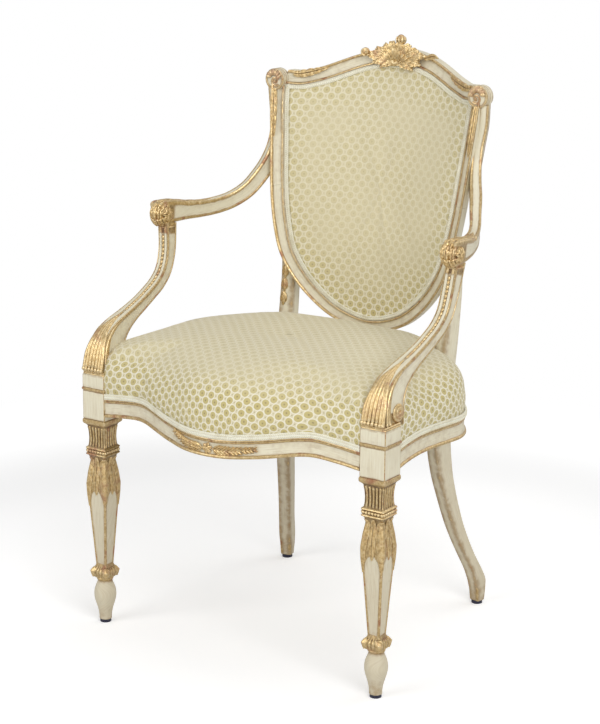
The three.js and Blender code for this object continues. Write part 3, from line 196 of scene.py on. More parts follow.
# Ear at the shoulder from its front face back: radius, depth and how gilt the row is
EAR_ROWS = (
    (0.5, 0.6, 0.1), (13, 0.6, 0.1), (14.6, 0.9, 0.45), (15.2, 0.1, 0.6), (16.6, -0.1, 0.6),
    (18, 0.5, 0.65), (18.5, 1.8, 0.8), (18.5, 3.2, 0.4), (17.6, 4.2, 0.3), (17.6, 5.6, 0), (18.4, 6.6, 0.5),
    (18.4, 7.6, 0.5), (17.6, 8.6, 0.2), (17.6, 10.4, 0), (18.4, 11.4, 0.5), (18.4, 12.4, 0.5),
    (17.6, 13.4, 0.2), (17.6, 15.6, 0), (18.5, 16.8, 0.3), (18.5, 20.5, 0.3), (17.4, 22, 0.1), (0.5, 22, 0),
)
# Gilt band on top of the block: height and half width
BASE_BAND_ROWS = (
    (435, 19), (435, 21.6), (436, 22.3), (437.2, 21.8), (437.9, 21.2), (438.6, 21.9), (439.8, 22.1),
    (440.9, 21.2), (441, 18),
)

# Linings of the seat
CANVAS_TOP = 430.1
CANVAS_UNDER = 428.9
STRAP_LEVEL = 426.05
STRAP_HALF = 26
STRAP_EDGE = 0.75
STRAP_LIFT = 1.65
CROSS_STRAPS = (60.4, 164.7, 270.8)
LONG_STRAPS = (-95.0, 0.0, 95.0)
LONG_STRAP_END = 370.5
CLOTH_HEIGHT_SHARE = 1.018


# Lines and sections

def smooth(pairs, place):
    """Value at one place of a smooth line through pairs, level at the first of them."""
    last = len(pairs) - 1
    i = 0
    while i < last - 1 and place > pairs[i + 1][0]:
        i += 1

    def slope(a, b):
        return (pairs[b][1] - pairs[a][1]) / (pairs[b][0] - pairs[a][0])

    step = pairs[i + 1][0] - pairs[i][0]
    s = (place - pairs[i][0]) / step
    start = slope(i - 1, i + 1) if i > 0 else 0
    end = slope(i, i + 2) if i + 1 < last else slope(last - 1, last)
    a, b = pairs[i][1], pairs[i + 1][1]
    return (
        (2 * s**3 - 3 * s**2 + 1) * a + (s**3 - 2 * s**2 + s) * step * start
        + (3 * s**2 - 2 * s**3) * b + (s**3 - s**2) * step * end
    )


def spline(points, places):
    """Points of a centripetal curve through points, at places from 0 to 1 by number of points."""
    p = np.array(points, float)
    ends = np.vstack([2 * p[0] - p[1], p, 2 * p[-1] - p[-2]])
    out = []
    for t in places:
        x = t * (len(p) - 1)
        i = min(int(x), len(p) - 2)
        w = x - i
        p0, p1, p2, p3 = ends[i:i + 4]
        d0, d1, d2 = (max(np.linalg.norm(b - a) ** 0.5, 1e-4) for a, b in ((p0, p1), (p1, p2), (p2, p3)))
        t1 = ((p1 - p0) / d0 - (p2 - p0) / (d0 + d1) + (p2 - p1) / d1) * d1
        t2 = ((p2 - p1) / d1 - (p3 - p1) / (d1 + d2) + (p3 - p2) / d2) * d1
        out.append(p1 + t1 * w + (3 * (p2 - p1) - 2 * t1 - t2) * w**2 + (2 * (p1 - p2) + t1 + t2) * w**3)
    return np.array(out)


def even(points, count, start=0.0, end=1.0):
    """Points spaced evenly by length between two shares of a line."""
    p = np.array(points, float)
    run = np.concatenate([[0], np.cumsum(np.linalg.norm(np.diff(p, axis=0), axis=1))])
    places = np.linspace(start, end, count) * run[-1]
    return np.stack([np.interp(places, run, p[:, k]) for k in range(p.shape[1])], 1)


def tangents(line, closed=False):
    """Unit directions along a line."""
    if closed:
        d = np.roll(line, -1, 0) - np.roll(line, 1, 0)
    else:
        d = np.gradient(line, axis=0)
    return d / np.maximum(np.linalg.norm(d, axis=1, keepdims=True), 1e-9)


def unit(v):
    """Vectors of length one."""
    v = np.asarray(v, float)
    return v / np.maximum(np.linalg.norm(v, axis=-1, keepdims=True), 1e-9)


def fillet(section):
    """Closed outline with its corners cut a little, its finish values kept."""
    here = np.array(section, float)
    ahead = np.roll(here, -1, 0)
    pairs = np.stack([here * 0.8 + ahead * 0.2, here * 0.2 + ahead * 0.8], 1)
    return pairs.reshape(-1, here.shape[1])


class Shell:
    """One closed form: points in millimetres, faces, how gilt each point is, and its place in the grain."""

    def __init__(self, points, faces, gild=0.0, grain=None, cloth=None):
        self.points = np.array(points, float).reshape(-1, 3)
        self.faces = [tuple(int(i) for i in f) for f in faces]
        self.gild = np.broadcast_to(np.asarray(gild, float).ravel(), (len(self.points),)).copy()
        self.grain = self.points[:, [0, 2, 1]] if grain is None else np.array(grain, float).reshape(-1, 3)
        self.cloth = np.zeros_like(self.points) if cloth is None else np.array(cloth, float).reshape(-1, 3)
        if self.volume() < 0:
            self.faces = [f[::-1] for f in self.faces]

    def volume(self):
        """Signed volume, which is negative where the faces point in."""
        total = 0.0
        p = self.points - self.points.mean(0)
        for f in self.faces:
            for k in range(1, len(f) - 1):
                total += np.dot(p[f[0]], np.cross(p[f[k]], p[f[k + 1]]))
        return total

    def mirrored(self):
        """The same form on the other side of the chair."""
        flip = np.array([-1, 1, 1])
        return Shell(self.points * flip, self.faces, self.gild, self.grain, self.cloth * flip)


def loft(rings, gild=0.0, closed=False):
    """Skin over rings of points, capped by a fan at each end unless the rings close in a loop."""
    rings = np.array(rings, float)
    n, m = rings.shape[:2]
    gild = np.broadcast_to(np.asarray(gild, float), (n, m)).copy()
    steps = np.linalg.norm(np.roll(rings, -1, 1) - rings, axis=2)
    around = np.concatenate([np.zeros((n, 1)), np.cumsum(steps, 1)[:, :-1]], 1)
    middles = rings.mean(1)
    ahead = np.concatenate([[0], np.cumsum(np.linalg.norm(np.diff(middles, axis=0), axis=1))])
    grain = np.stack([around, np.broadcast_to(ahead[:, None], (n, m)), np.zeros((n, m))], 2).reshape(-1, 3)
    index = np.arange(n * m).reshape(n, m)
    rows = index if not closed else np.vstack([index, index[:1]])
    a, b = rows[:-1], rows[1:]
    quads = np.stack([a, np.roll(a, -1, 1), np.roll(b, -1, 1), b], 2).reshape(-1, 4)
    points = rings.reshape(-1, 3)
    faces = [tuple(q) for q in quads]
    gild = gild.reshape(-1)
    if not closed:
        points = np.vstack([points, middles[0], middles[-1]])
        grain = np.vstack([grain, grain[0], grain[(n - 1) * m]])
        gild = np.concatenate([gild, [gild[:m].mean(), gild[-m:].mean()]])
        for start, middle, turn in ((0, n * m, 1), ((n - 1) * m, n * m + 1, -1)):
            for k in range(m):
                pair = (start + (k + 1) % m, start + k)[::turn]
                faces.append((*pair, middle))
    return Shell(points, faces, gild, grain)


def circle(count):
    """Cosines and sines of even turns round a circle."""
    turns = np.linspace(0, 2 * math.pi, count, endpoint=False)
    return np.cos(turns), np.sin(turns)


def rings_round(line, across, up, x, y):
    """Rings of points round a line, x along across and y along up."""
    return line[:, None] + across[:, None] * x[..., None] + up[:, None] * y[..., None]


def swept(line, across, up, section, closed=False):
    """Loft of a section of (x, y, gild) rows along a line."""
    rows = np.broadcast_to(np.array(section, float), (len(line), len(section), 3))
    return loft(rings_round(line, across, up, rows[..., 0], rows[..., 1]), rows[..., 2], closed)


def lathe(profile, middle, count, gild):
    """Turned form of (radius, height) rows about an upright axis."""
    cos, sin = circle(count)
    rings = [np.stack([middle[0] + r * cos, middle[1] + r * sin, np.full(count, z)], 1) for r, z in profile]
    return loft(rings, np.broadcast_to(gild[:, None], (len(profile), count)))


def strand(points, radius, lift, taper=(0.25, 0.6), sides=8, count=24, gild=1.0, flat=0.75):
    """Carved ridge along a line, thick in the middle and fine at its ends. lift is its outward direction."""
    line = spline(points, np.linspace(0, 1, count))
    ahead = tangents(line)
    lift = np.broadcast_to(lift(line) if callable(lift) else np.asarray(lift, float), line.shape)
    across = unit(np.cross(ahead, lift))
    up = unit(np.cross(across, ahead))
    s = np.linspace(0, 1, count)
    swell = np.minimum(taper[0] + s * 4 * (1 - taper[0]), 1)
    shrink = taper[1] + (1 - s) * 3 * (1 - taper[1])
    size = radius * np.minimum(swell, shrink)
    size[[0, -1]] *= 0.3
    cos, sin = circle(sides)
    return loft(rings_round(line, across, up, cos * size[:, None], sin * size[:, None] * flat), gild)


def leaf(place, half_width, relief, lobes=5, rows=30, cols=13, point=0.9, sink=0.8, cup=0.0):
    """Carved leaf with a sunk rib and lobed edges. place(u, x) gives surface points and normals."""
    u = np.linspace(0, 1, rows)[:, None] * np.ones((1, cols))
    v = np.linspace(-1, 1, cols)[None, :] * np.ones((rows, 1))
    shape = np.clip(np.sin(math.pi * np.clip(u, 0.02, 0.995) ** point), 0.03, 1) ** 0.6
    lobe = np.abs(np.cos(math.pi * lobes * (u - 0.08 * np.abs(v))))
    x = v * half_width * shape * (0.74 + 0.26 * lobe ** 0.6)
    height = relief * (
        0.35 + 0.55 * (1 - v**2) + 0.3 * (lobe - 0.5) * np.abs(v) - 0.4 * np.exp(-((v / 0.13) ** 2))
    ) * np.clip(shape * 1.3, 0.3, 1) + cup * v**2
    points, normals = place(u, x)
    top = points + normals * height[..., None]
    low = points - normals * sink
    ring = [(i, 0) for i in range(rows)] + [(rows - 1, j) for j in range(1, cols)]
    ring += [(i, cols - 1) for i in range(rows - 2, -1, -1)] + [(0, j) for j in range(cols - 2, 0, -1)]
    index = np.arange(rows * cols).reshape(rows, cols)
    faces = []
    for i in range(rows - 1):
        for j in range(cols - 1):
            a, b, c, d = index[i, j], index[i + 1, j], index[i + 1, j + 1], index[i, j + 1]
            faces += [(a, b, c, d), tuple(k + rows * cols for k in (d, c, b, a))]
    for k in range(len(ring)):
        a, b = index[ring[k]], index[ring[(k + 1) % len(ring)]]
        faces.append((a, a + rows * cols, b + rows * cols, b))
    return Shell(np.concatenate([top.reshape(-1, 3), low.reshape(-1, 3)]), faces, 1.0)


def on_plane(points, across, normal):
    """Leaf's place along a curve, flat across it; without across, it lies square to the curve."""
    points = np.array(points, float)
    normal = np.asarray(normal, float)

    def place(u, x):
        line = spline(points, u[:, 0])
        ahead = tangents(line)
        if across is None:
            sideways = unit(np.cross(ahead, unit(np.broadcast_to(normal, line.shape))))
        else:
            sideways = unit(np.broadcast_to(np.asarray(across, float), line.shape))
        normals = unit(np.cross(sideways, ahead))
        normals *= np.sign(np.sum(normals * normal, 1, keepdims=True) + 1e-9)
        shape = (*x.shape, 3)
        return line[:, None] + sideways[:, None] * x[..., None], np.broadcast_to(normals[:, None], shape)

    return place


def ball(middle, size, rows=14, cols=18, gild=1.0):
    """Closed rounded form with its own half size along each axis."""
    cos, sin = circle(cols)
    rings = [np.stack([
        middle[0] + size[0] * math.sin(a) * cos,
        middle[1] + size[1] * math.sin(a) * sin,
        np.full(cols, middle[2] + size[2] * math.cos(a)),
    ], 1) for a in np.linspace(0.12, math.pi - 0.12, rows)]
    return loft(rings, gild)


def spiral(middle, right, up, radius, turns, size, start=0.0, inner=0.18, count=60, lift=1.5, gild=1.0):
    """Ridge wound in a flat spiral, with a boss in its middle."""
    right, up = unit(right), unit(up)
    out = np.cross(right, up)
    a = np.linspace(0, turns * 2 * math.pi, 40)
    r = radius * (1 - (1 - inner) * np.linspace(0, 1, 40) ** 0.85)
    points = (
        np.array(middle) + np.outer(r * np.cos(a + start), right) + np.outer(r * np.sin(a + start), up)
        + np.outer(lift * np.linspace(0, 1, 40), out)
    )
    return strand(points, size, out, (0.9, 0.9), 8, count, gild, 0.9)


# Building objects

def linked(name, data):
    """Object of a mesh, lamp or camera, in the scene."""
    item = bpy.data.objects.new(name, data)
    bpy.context.collection.objects.link(item)
    return item


def on_side(shells, side):
    """Forms of the right side as they are, or mirrored for the left."""
    return shells if side > 0 else [s.mirrored() for s in shells]


def build(name, shells, kind, nodes=(), sharp=38.0):
    """Joins shells into one object of the chair, riding on its body, in the finish of its kind."""
    points = np.concatenate([s.points for s in shells]) * MM
    points[:, 1] += AXIS_Y * MM
    faces = []
    start = 0
    for s in shells:
        faces += [tuple(i + start for i in f) for f in s.faces]
        start += len(s.points)
    mesh = bpy.data.meshes.new(name)
    mesh.from_pydata(points.tolist(), [], faces)
    for key, kind_of_value, values in (
        ("gild", "FLOAT", np.concatenate([s.gild for s in shells])),
        ("grain", "FLOAT_VECTOR", np.concatenate([s.grain for s in shells]) * MM),
        ("cloth", "FLOAT_VECTOR", np.concatenate([s.cloth for s in shells]) * MM),
    ):
        kept = mesh.attributes.new(key, kind_of_value, "POINT")
        field = "value" if kind_of_value == "FLOAT" else "vector"
        kept.data.foreach_set(field, values.astype(np.float32).ravel())
    mesh.shade_smooth()
    if sharp:
        mesh.set_sharp_from_angle(angle=math.radians(sharp))
    mesh.update()
    piece = linked(name, mesh)
    mesh.materials.append(finish(kind))
    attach(piece, "root")
    if nodes:
        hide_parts(*nodes)
    return piece


# Shader nodes

def connect(tree, item, values):
    """Links a node's inputs to sockets, or gives them a value."""
    for socket, value in values.items():
        if isinstance(value, bpy.types.NodeSocket):
            tree.links.new(value, item.inputs[socket])
        else:
            item.inputs[socket].default_value = value
    return item


def add(tree, kind, values=None, **settings):
    """New node with its settings, and its inputs linked or given a value."""
    item = tree.nodes.new(kind)
    for key, value in settings.items():
        setattr(item, key, value)
    return connect(tree, item, values or {})


def calc(tree, operation, a, b=0.0, clamp=False):
    """Result of one sum on two values."""
    return add(tree, "ShaderNodeMath", {0: a, 1: b}, operation=operation, use_clamp=clamp).outputs[0]


def times(tree, a, b):
    """Product of two values."""
    return calc(tree, "MULTIPLY", a, b)


def step_between(tree, value, low, high, to_low=0.0, to_high=1.0):
    """Smooth step of a value from one bound to another."""
    values = {"Value": value, "From Min": low, "From Max": high, "To Min": to_low, "To Max": to_high}
    return add(tree, "ShaderNodeMapRange", values, interpolation_type="SMOOTHSTEP").outputs["Result"]


def blend_colours(tree, share, a, b):
    """Mix of two colours."""
    return add(tree, "ShaderNodeMix", {"Factor": share, 6: a, 7: b}, data_type="RGBA").outputs[2]


def noise(tree, vector, scale, detail=3.0):
    """Soft noise at a scale."""
    values = {"Vector": vector, "Scale": scale, "Detail": detail, "Roughness": 0.55}
    return add(tree, "ShaderNodeTexNoise", values).outputs["Fac"]


def stretch_vector(tree, vector, scale):
    """Vector with each part scaled."""
    return add(tree, "ShaderNodeMapping", {"Vector": vector, "Scale": scale}).outputs[0]


def object_place(tree):
    """Place on the piece in metres."""
    return add(tree, "ShaderNodeTexCoord").outputs["Object"]


def attribute(tree, name, output="Fac"):
    """Named value kept on the mesh."""
    return add(tree, "ShaderNodeAttribute", attribute_name=name).outputs[output]


def new_group(name, inputs, outputs):
    """Empty shader group with named sockets: the group, what it is given, and its end node."""
    tree = bpy.data.node_groups.new(name, "ShaderNodeTree")
    for label, kind, value in inputs:
        socket = tree.interface.new_socket(name=label, in_out="INPUT", socket_type="NodeSocket" + kind)
        if value is not None:
            socket.default_value = value
    for label, kind in outputs:
        tree.interface.new_socket(name=label, in_out="OUTPUT", socket_type="NodeSocket" + kind)
    return tree, tree.nodes.new("NodeGroupInput").outputs, tree.nodes.new("NodeGroupOutput")


def group_with(tree, name, values):
    """A shared group placed in a material or in another group."""
    return add(tree, "ShaderNodeGroup", values, node_tree=bpy.data.node_groups[name]).outputs


def carving_masks_group():
    """Masks of hollows and of raised edges, broken up by noise; where they are used, they place painted shade
    and painted highlights.
    """
    tree, given, end = new_group(
        "Carving masks",
        [("Place", "Vector", None), ("Scale", "Float", 180.0)],
        [(label, "Float") for label in ("Hollows", "Recesses", "Ridges", "Patches")],
    )
    point = tree.nodes.new("ShaderNodeNewGeometry").outputs["Pointiness"]
    rough = noise(tree, given["Place"], given["Scale"], 4.0)
    moved = calc(tree, "ADD", point, times(tree, calc(tree, "SUBTRACT", rough, 0.5), 0.08))
    masks = {
        label: step_between(tree, moved, begin, full)
        for label, begin, full in (("Hollows", 0.5, 0.43), ("Recesses", 0.525, 0.445), ("Ridges", 0.52, 0.6))
    }
    connect(tree, end, {**masks, "Patches": rough})


def gilding_group():
    """Colour and roughness of old gold leaf over red clay, with painted glints and highlights, and dirt and
    painted shade in its recesses.
    """
    tree, given, end = new_group(
        "Old gilding",
        [
            ("Place", "Vector", None), ("Gold", "Color", (0.7, 0.47, 0.2, 1)),
            ("Clay", "Color", (0.3, 0.09, 0.04, 1)), ("Dirt and shade", "Color", (0.11, 0.055, 0.02, 1)),
            ("Wear", "Float", 0.5),
        ],
        [("Colour", "Color"), ("Metal", "Float"), ("Roughness", "Float"), ("Height", "Float")],
    )
    wear = group_with(tree, "Carving masks", {"Place": given["Place"]})
    broad = noise(tree, given["Place"], 45.0, 5.0)
    fine = noise(tree, given["Place"], 620.0)
    chips_and_glints = noise(tree, given["Place"], 260.0)
    gold = given["Gold"]
    for mask, share, tint in (
        (broad, 0.6, (0.78, 0.62, 0.36, 1)),
        # Pale flecks: painted glints; dark flecks: chips in the gold.
        (step_between(tree, chips_and_glints, 0.5, 0.68), 0.38, (0.88, 0.76, 0.48, 1)),
        (step_between(tree, chips_and_glints, 0.5, 0.34), 0.5, (0.34, 0.2, 0.06, 1)),
        # Raised ridges lightened: a painted highlight.
        (wear["Ridges"], 0.4, (0.93, 0.82, 0.56, 1)),
    ):
        gold = blend_colours(tree, times(tree, mask, share), gold, tint)
    uneven = calc(tree, "ADD", broad, times(tree, fine, 0.3))
    rubbed = times(tree, step_between(tree, uneven, 0.68, 0.84), given["Wear"])
    # Recesses darkened toward the dirt colour: partly dirt, partly painted shade.
    hollow = times(tree, wear["Recesses"], 0.95)
    dull = times(tree, calc(tree, "ADD", hollow, rubbed, True), 0.7)
    bare = blend_colours(tree, rubbed, gold, given["Clay"])
    connect(tree, end, {
        "Colour": blend_colours(tree, hollow, bare, given["Dirt and shade"]),
        "Metal": calc(tree, "SUBTRACT", 0.85, dull, True),
        "Roughness": step_between(tree, fine, 0.2, 0.8, 0.3, 0.5),
        "Height": fine,
    })


def brushed_group():
    """Old paint laid on with a brush along the grain, with painted shade darkening it towards the floor."""
    tree, given, end = new_group(
        "Brushed paint",
        [
            ("Grain", "Vector", None), ("Place", "Vector", None), ("Paint", "Color", (0.7, 0.66, 0.5, 1)),
            ("Glaze and shade", "Color", (0.36, 0.25, 0.12, 1)), ("Streaks", "Float", 0.5),
        ],
        [("Colour", "Color"), ("Height", "Float")],
    )
    streaks = noise(tree, stretch_vector(tree, given["Grain"], (620, 26, 1)), 1.0, 4.0)
    broad = noise(tree, given["Place"], 14.0)
    height = add(tree, "ShaderNodeSeparateXYZ", {0: given["Place"]}).outputs["Z"]
    light = times(tree, step_between(tree, streaks, 0.5, 0.26), 0.35)
    dark = times(tree, step_between(tree, streaks, 0.48, 0.78), given["Streaks"])
    colour = blend_colours(tree, light, given["Paint"], (0.86, 0.86, 0.78, 1))
    for mask, share in (
        (dark, 0.6),
        (step_between(tree, broad, 0.5, 0.8), 0.14),
        # Lower down, mixed toward the glaze colour: painted shade towards the floor.
        (step_between(tree, height, 0.48, 0.1), 0.24),
    ):
        colour = blend_colours(tree, times(tree, mask, share), colour, given["Glaze and shade"])
    connect(tree, end, {"Colour": colour, "Height": streaks})


def weave_group():
    """Over and under threads of a plain cloth: height and a mask of the gaps."""
    tree, given, end = new_group(
        "Plain weave",
        [("Cloth", "Vector", None), ("Thread", "Float", 1.0)],
        [("Height", "Float"), ("Gaps", "Float")],
    )
    parts = add(tree, "ShaderNodeSeparateXYZ", {0: given["Cloth"]}).outputs
    half_turns = math.pi / MM
    turns = [
        times(tree, calc(tree, "DIVIDE", parts[part], given["Thread"]), half_turns) for part in ("X", "Y")
    ]
    across = calc(tree, "SINE", turns[0])
    along = calc(tree, "COSINE", turns[1])
    ribs = times(tree, calc(tree, "ABSOLUTE", across), calc(tree, "ABSOLUTE", along))
    connect(tree, end, {
        "Height": calc(tree, "ADD", times(tree, times(tree, across, along), 0.5), ribs),
        "Gaps": step_between(tree, ribs, 0.16, 0.02),
    })


def lattice_group():
    """Masks of the velvet's pattern: rows of discs, each half a step from the last, in a net."""
    tree, given, end = new_group(
        "Disc lattice",
        [("Cloth", "Vector", None), ("Pitch", "Float", 0.0185), ("Row", "Float", 0.0104)],
        [(label, "Float") for label in ("Disc", "Net", "Eye", "Spot")],
    )
    parts = add(tree, "ShaderNodeSeparateXYZ", {0: given["Cloth"]}).outputs
    two_rows = times(tree, given["Row"], 2.0)
    steps = (
        (calc(tree, "DIVIDE", parts["X"], given["Pitch"]), given["Pitch"]),
        (calc(tree, "DIVIDE", parts["Y"], two_rows), two_rows),
    )

    def distance(*shifts):
        """Millimetres from the nearest crossing of a grid, moved by shares of its steps."""
        found = []
        for (value, length), shift in zip(steps, shifts):
            part = calc(tree, "SUBTRACT", calc(tree, "FRACT", calc(tree, "ADD", value, shift + 0.5)), 0.5)
            found.append(times(tree, times(tree, part, length), 1000.0))
        flat = add(tree, "ShaderNodeCombineXYZ", {0: found[0], 1: found[1]}).outputs[0]
        return add(tree, "ShaderNodeVectorMath", {0: flat}, operation="LENGTH").outputs["Value"]

    near = calc(tree, "MINIMUM", distance(0.0, 0.0), distance(0.5, 0.5))
    between = calc(tree, "MINIMUM", distance(0.5, 0.0), distance(0.0, 0.5))
    ring = calc(tree, "ABSOLUTE", calc(tree, "SUBTRACT", near, 6.6))
    connect(tree, end, {
        "Disc": step_between(tree, near, 6.0, 5.1),
        "Net": step_between(tree, ring, 0.95, 0.3),
        "Eye": step_between(tree, near, 2.0, 0.7),
        "Spot": step_between(tree, between, 1.5, 0.6),
    })


GROUPS = (
    ("Carving masks", carving_masks_group), ("Old gilding", gilding_group), ("Brushed paint", brushed_group),
    ("Plain weave", weave_group), ("Disc lattice", lattice_group),
)


def surface(name):
    """New material with its main shader."""
    material = bpy.data.materials.new(name)
    material.use_nodes = True
    return material, material.node_tree, material.node_tree.nodes["Principled BSDF"]


def relief(tree, height, strength, distance):
    """Normal of a surface raised by a height value."""
    values = {"Height": height, "Strength": strength, "Distance": distance}
    return add(tree, "ShaderNodeBump", values).outputs[0]


def painted_finish(look):
    """Cream paint with gilt and glazed parts told by the mesh, darkened in hollows by dirt and painted shade.
    """
    material, tree, shader = surface("aged_paint")
    place = object_place(tree)
    gild = attribute(tree, "gild")
    glaze_and_shade = (*look.glaze_and_shade, 1)
    paint = group_with(tree, "Brushed paint", {
        "Grain": attribute(tree, "grain", "Vector"), "Place": place,
        "Paint": (*look.paint, 1), "Glaze and shade": glaze_and_shade, "Streaks": look.streaks,
    })
    gold = group_with(tree, "Old gilding", {
        "Place": place, "Gold": (*[0.8 * c for c in look.gold], 1), "Wear": min(1, look.wear * 1.4),
    })
    # Its hollows mask paints shade as well as dirt; its patches break up the gilding.
    wear = group_with(tree, "Carving masks", {"Place": place, "Scale": 90.0})
    uneven = calc(tree, "ADD", times(tree, gild, 1.5), 0.25)
    patches = times(tree, calc(tree, "SUBTRACT", wear["Patches"], 0.5), uneven)
    broken = calc(tree, "ADD", gild, patches)
    mask = step_between(tree, broken, 0.5, 0.62)
    tone = times(tree, step_between(tree, broken, 0.08, 0.5), 0.75)
    # Hollows darkened toward the glaze colour: partly dirt, partly painted shade.
    tone = calc(tree, "MAXIMUM", tone, times(tree, wear["Hollows"], 0.7))
    colour = blend_colours(tree, tone, paint["Colour"], glaze_and_shade)
    connect(tree, shader, {
        "Base Color": blend_colours(tree, mask, colour, gold["Colour"]),
        "Metallic": times(tree, mask, gold["Metal"]),
        "Roughness": step_between(tree, mask, 0.0, 1.0, 0.52, 0.38),
        "Normal": relief(tree, paint["Height"], 0.25, 0.0006),
    })
    return material


def gilt_finish(look):
    """Water gilding on carved wood."""
    material, tree, shader = surface("old_gilding")
    gold = group_with(tree, "Old gilding", {
        "Place": object_place(tree), "Gold": (*look.gold, 1), "Wear": look.wear,
    })
    kept = attribute(tree, "gild")
    connect(tree, shader, {
        "Base Color": blend_colours(tree, kept, (0.3, 0.1, 0.07, 1), gold["Colour"]),
        "Metallic": times(tree, kept, gold["Metal"]),
        "Roughness": gold["Roughness"],
        "Normal": relief(tree, gold["Height"], 0.2, 0.0004),
    })
    return material


def velvet_finish(look):
    """Cut velvet: olive discs with an eye in a pale net, faded pale by wear where it is sat on and by painted
    sheen and light.
    """
    material, tree, shader = surface("cut_velvet")
    cloth = attribute(tree, "cloth", "Vector")
    wobble = add(tree, "ShaderNodeTexNoise", {"Vector": cloth, "Scale": 160.0, "Detail": 2.0})
    values = {0: wobble.outputs["Color"], 1: (0.5, 0.5, 0.5)}
    shift = add(tree, "ShaderNodeVectorMath", values, operation="SUBTRACT").outputs[0]
    shift = add(tree, "ShaderNodeVectorMath", {0: shift, "Scale": 0.0012}, operation="SCALE").outputs[0]
    moved = add(tree, "ShaderNodeVectorMath", {0: cloth, 1: shift}, operation="ADD").outputs[0]
    net = group_with(tree, "Disc lattice", {"Cloth": moved, "Pitch": look.pitch, "Row": look.row})
    weave = group_with(tree, "Plain weave", {"Cloth": cloth, "Thread": 0.9})
    patches = times(tree, calc(tree, "SUBTRACT", noise(tree, object_place(tree), 16.0, 4.0), 0.5), 0.7)
    # The mesh's gild value fades the pattern: wear where it is sat on, and painted sheen and light.
    fade = calc(tree, "ADD", attribute(tree, "gild"), patches, True)
    keep = calc(tree, "SUBTRACT", 1.0, times(tree, fade, 0.8), True)
    faint = times(tree, keep, 0.75)
    marks = calc(tree, "MAXIMUM", net["Eye"], times(tree, net["Spot"], 0.65))
    colour = (*look.ground, 1)
    for mask, share, tint in (
        (net["Disc"], keep, look.disc), (net["Net"], faint, look.net), (marks, faint, look.eye),
        (weave["Gaps"], 0.18, look.eye),
    ):
        colour = blend_colours(tree, times(tree, mask, share), colour, (*tint, 1))
    pile = calc(tree, "ADD", times(tree, net["Disc"], 0.8), times(tree, weave["Height"], 0.25))
    pile = calc(tree, "SUBTRACT", pile, times(tree, marks, 0.5))
    connect(tree, shader, {
        "Base Color": colour, "Roughness": 0.85, "Sheen Weight": 0.25, "Sheen Roughness": 0.5,
        "Normal": relief(tree, pile, 0.55, 0.0009),
    })
    return material


def thread_finish(name, colour, dark, thread, vector="cloth", rough=0.85):
    """Woven thread in one colour."""
    material, tree, shader = surface(name)
    source = attribute(tree, vector, "Vector") if vector else object_place(tree)
    weave = group_with(tree, "Plain weave", {"Cloth": source, "Thread": thread})
    patches = step_between(tree, noise(tree, object_place(tree), 60.0, 4.0), 0.45, 0.75)
    share = calc(tree, "ADD", times(tree, weave["Gaps"], 0.5), times(tree, patches, 0.35), True)
    connect(tree, shader, {
        "Base Color": blend_colours(tree, share, (*colour, 1), (*dark, 1)), "Roughness": rough,
        "Normal": relief(tree, weave["Height"], 0.5, 0.0005),
    })
    return material


def plain_finish(name, colour, dark, scale, rough, metal=0.0, stretch=(1, 1, 1)):
    """Wood, steel or nylon with soft marks."""
    material, tree, shader = surface(name)
    marks = noise(tree, stretch_vector(tree, object_place(tree), stretch), scale, 5.0)
    connect(tree, shader, {
        "Base Color": blend_colours(tree, step_between(tree, marks, 0.3, 0.7), (*colour, 1), (*dark, 1)),
        "Roughness": step_between(tree, marks, 0.2, 0.8, rough, rough * 1.3), "Metallic": metal,
        "Normal": relief(tree, marks, 0.15, 0.0004),
    })
    return material


# Repeats made with Geometry Nodes

def repeat_tree():
    """Tree that sets a unit on every point of a mesh, turned by the points' own values."""
    tree = bpy.data.node_groups.new("Units on points", "GeometryNodeTree")
    tree.is_modifier = True
    for label, kind in (("Geometry", "Geometry"), ("Unit", "Object"), ("Material", "Material")):
        tree.interface.new_socket(name=label, in_out="INPUT", socket_type="NodeSocket" + kind)
    tree.interface.new_socket(name="Geometry", in_out="OUTPUT", socket_type="NodeSocketGeometry")
    given = tree.nodes.new("NodeGroupInput").outputs
    end = tree.nodes.new("NodeGroupOutput")
    one = add(tree, "GeometryNodeObjectInfo", {"Object": given["Unit"]})
    turn = add(tree, "GeometryNodeInputNamedAttribute", {"Name": "turn"}, data_type="FLOAT_VECTOR")
    rotation = add(tree, "FunctionNodeEulerToRotation", {0: turn.outputs[0]})
    spread = add(tree, "GeometryNodeInstanceOnPoints", {
        "Points": given["Geometry"], "Instance": one.outputs["Geometry"], "Rotation": rotation.outputs[0],
    })
    real = add(tree, "GeometryNodeRealizeInstances", {"Geometry": spread.outputs[0]})
    painted = add(tree, "GeometryNodeSetMaterial", {
        "Geometry": real.outputs[0], "Material": given["Material"],
    })
    connect(tree, end, {0: painted.outputs[0]})
    return tree


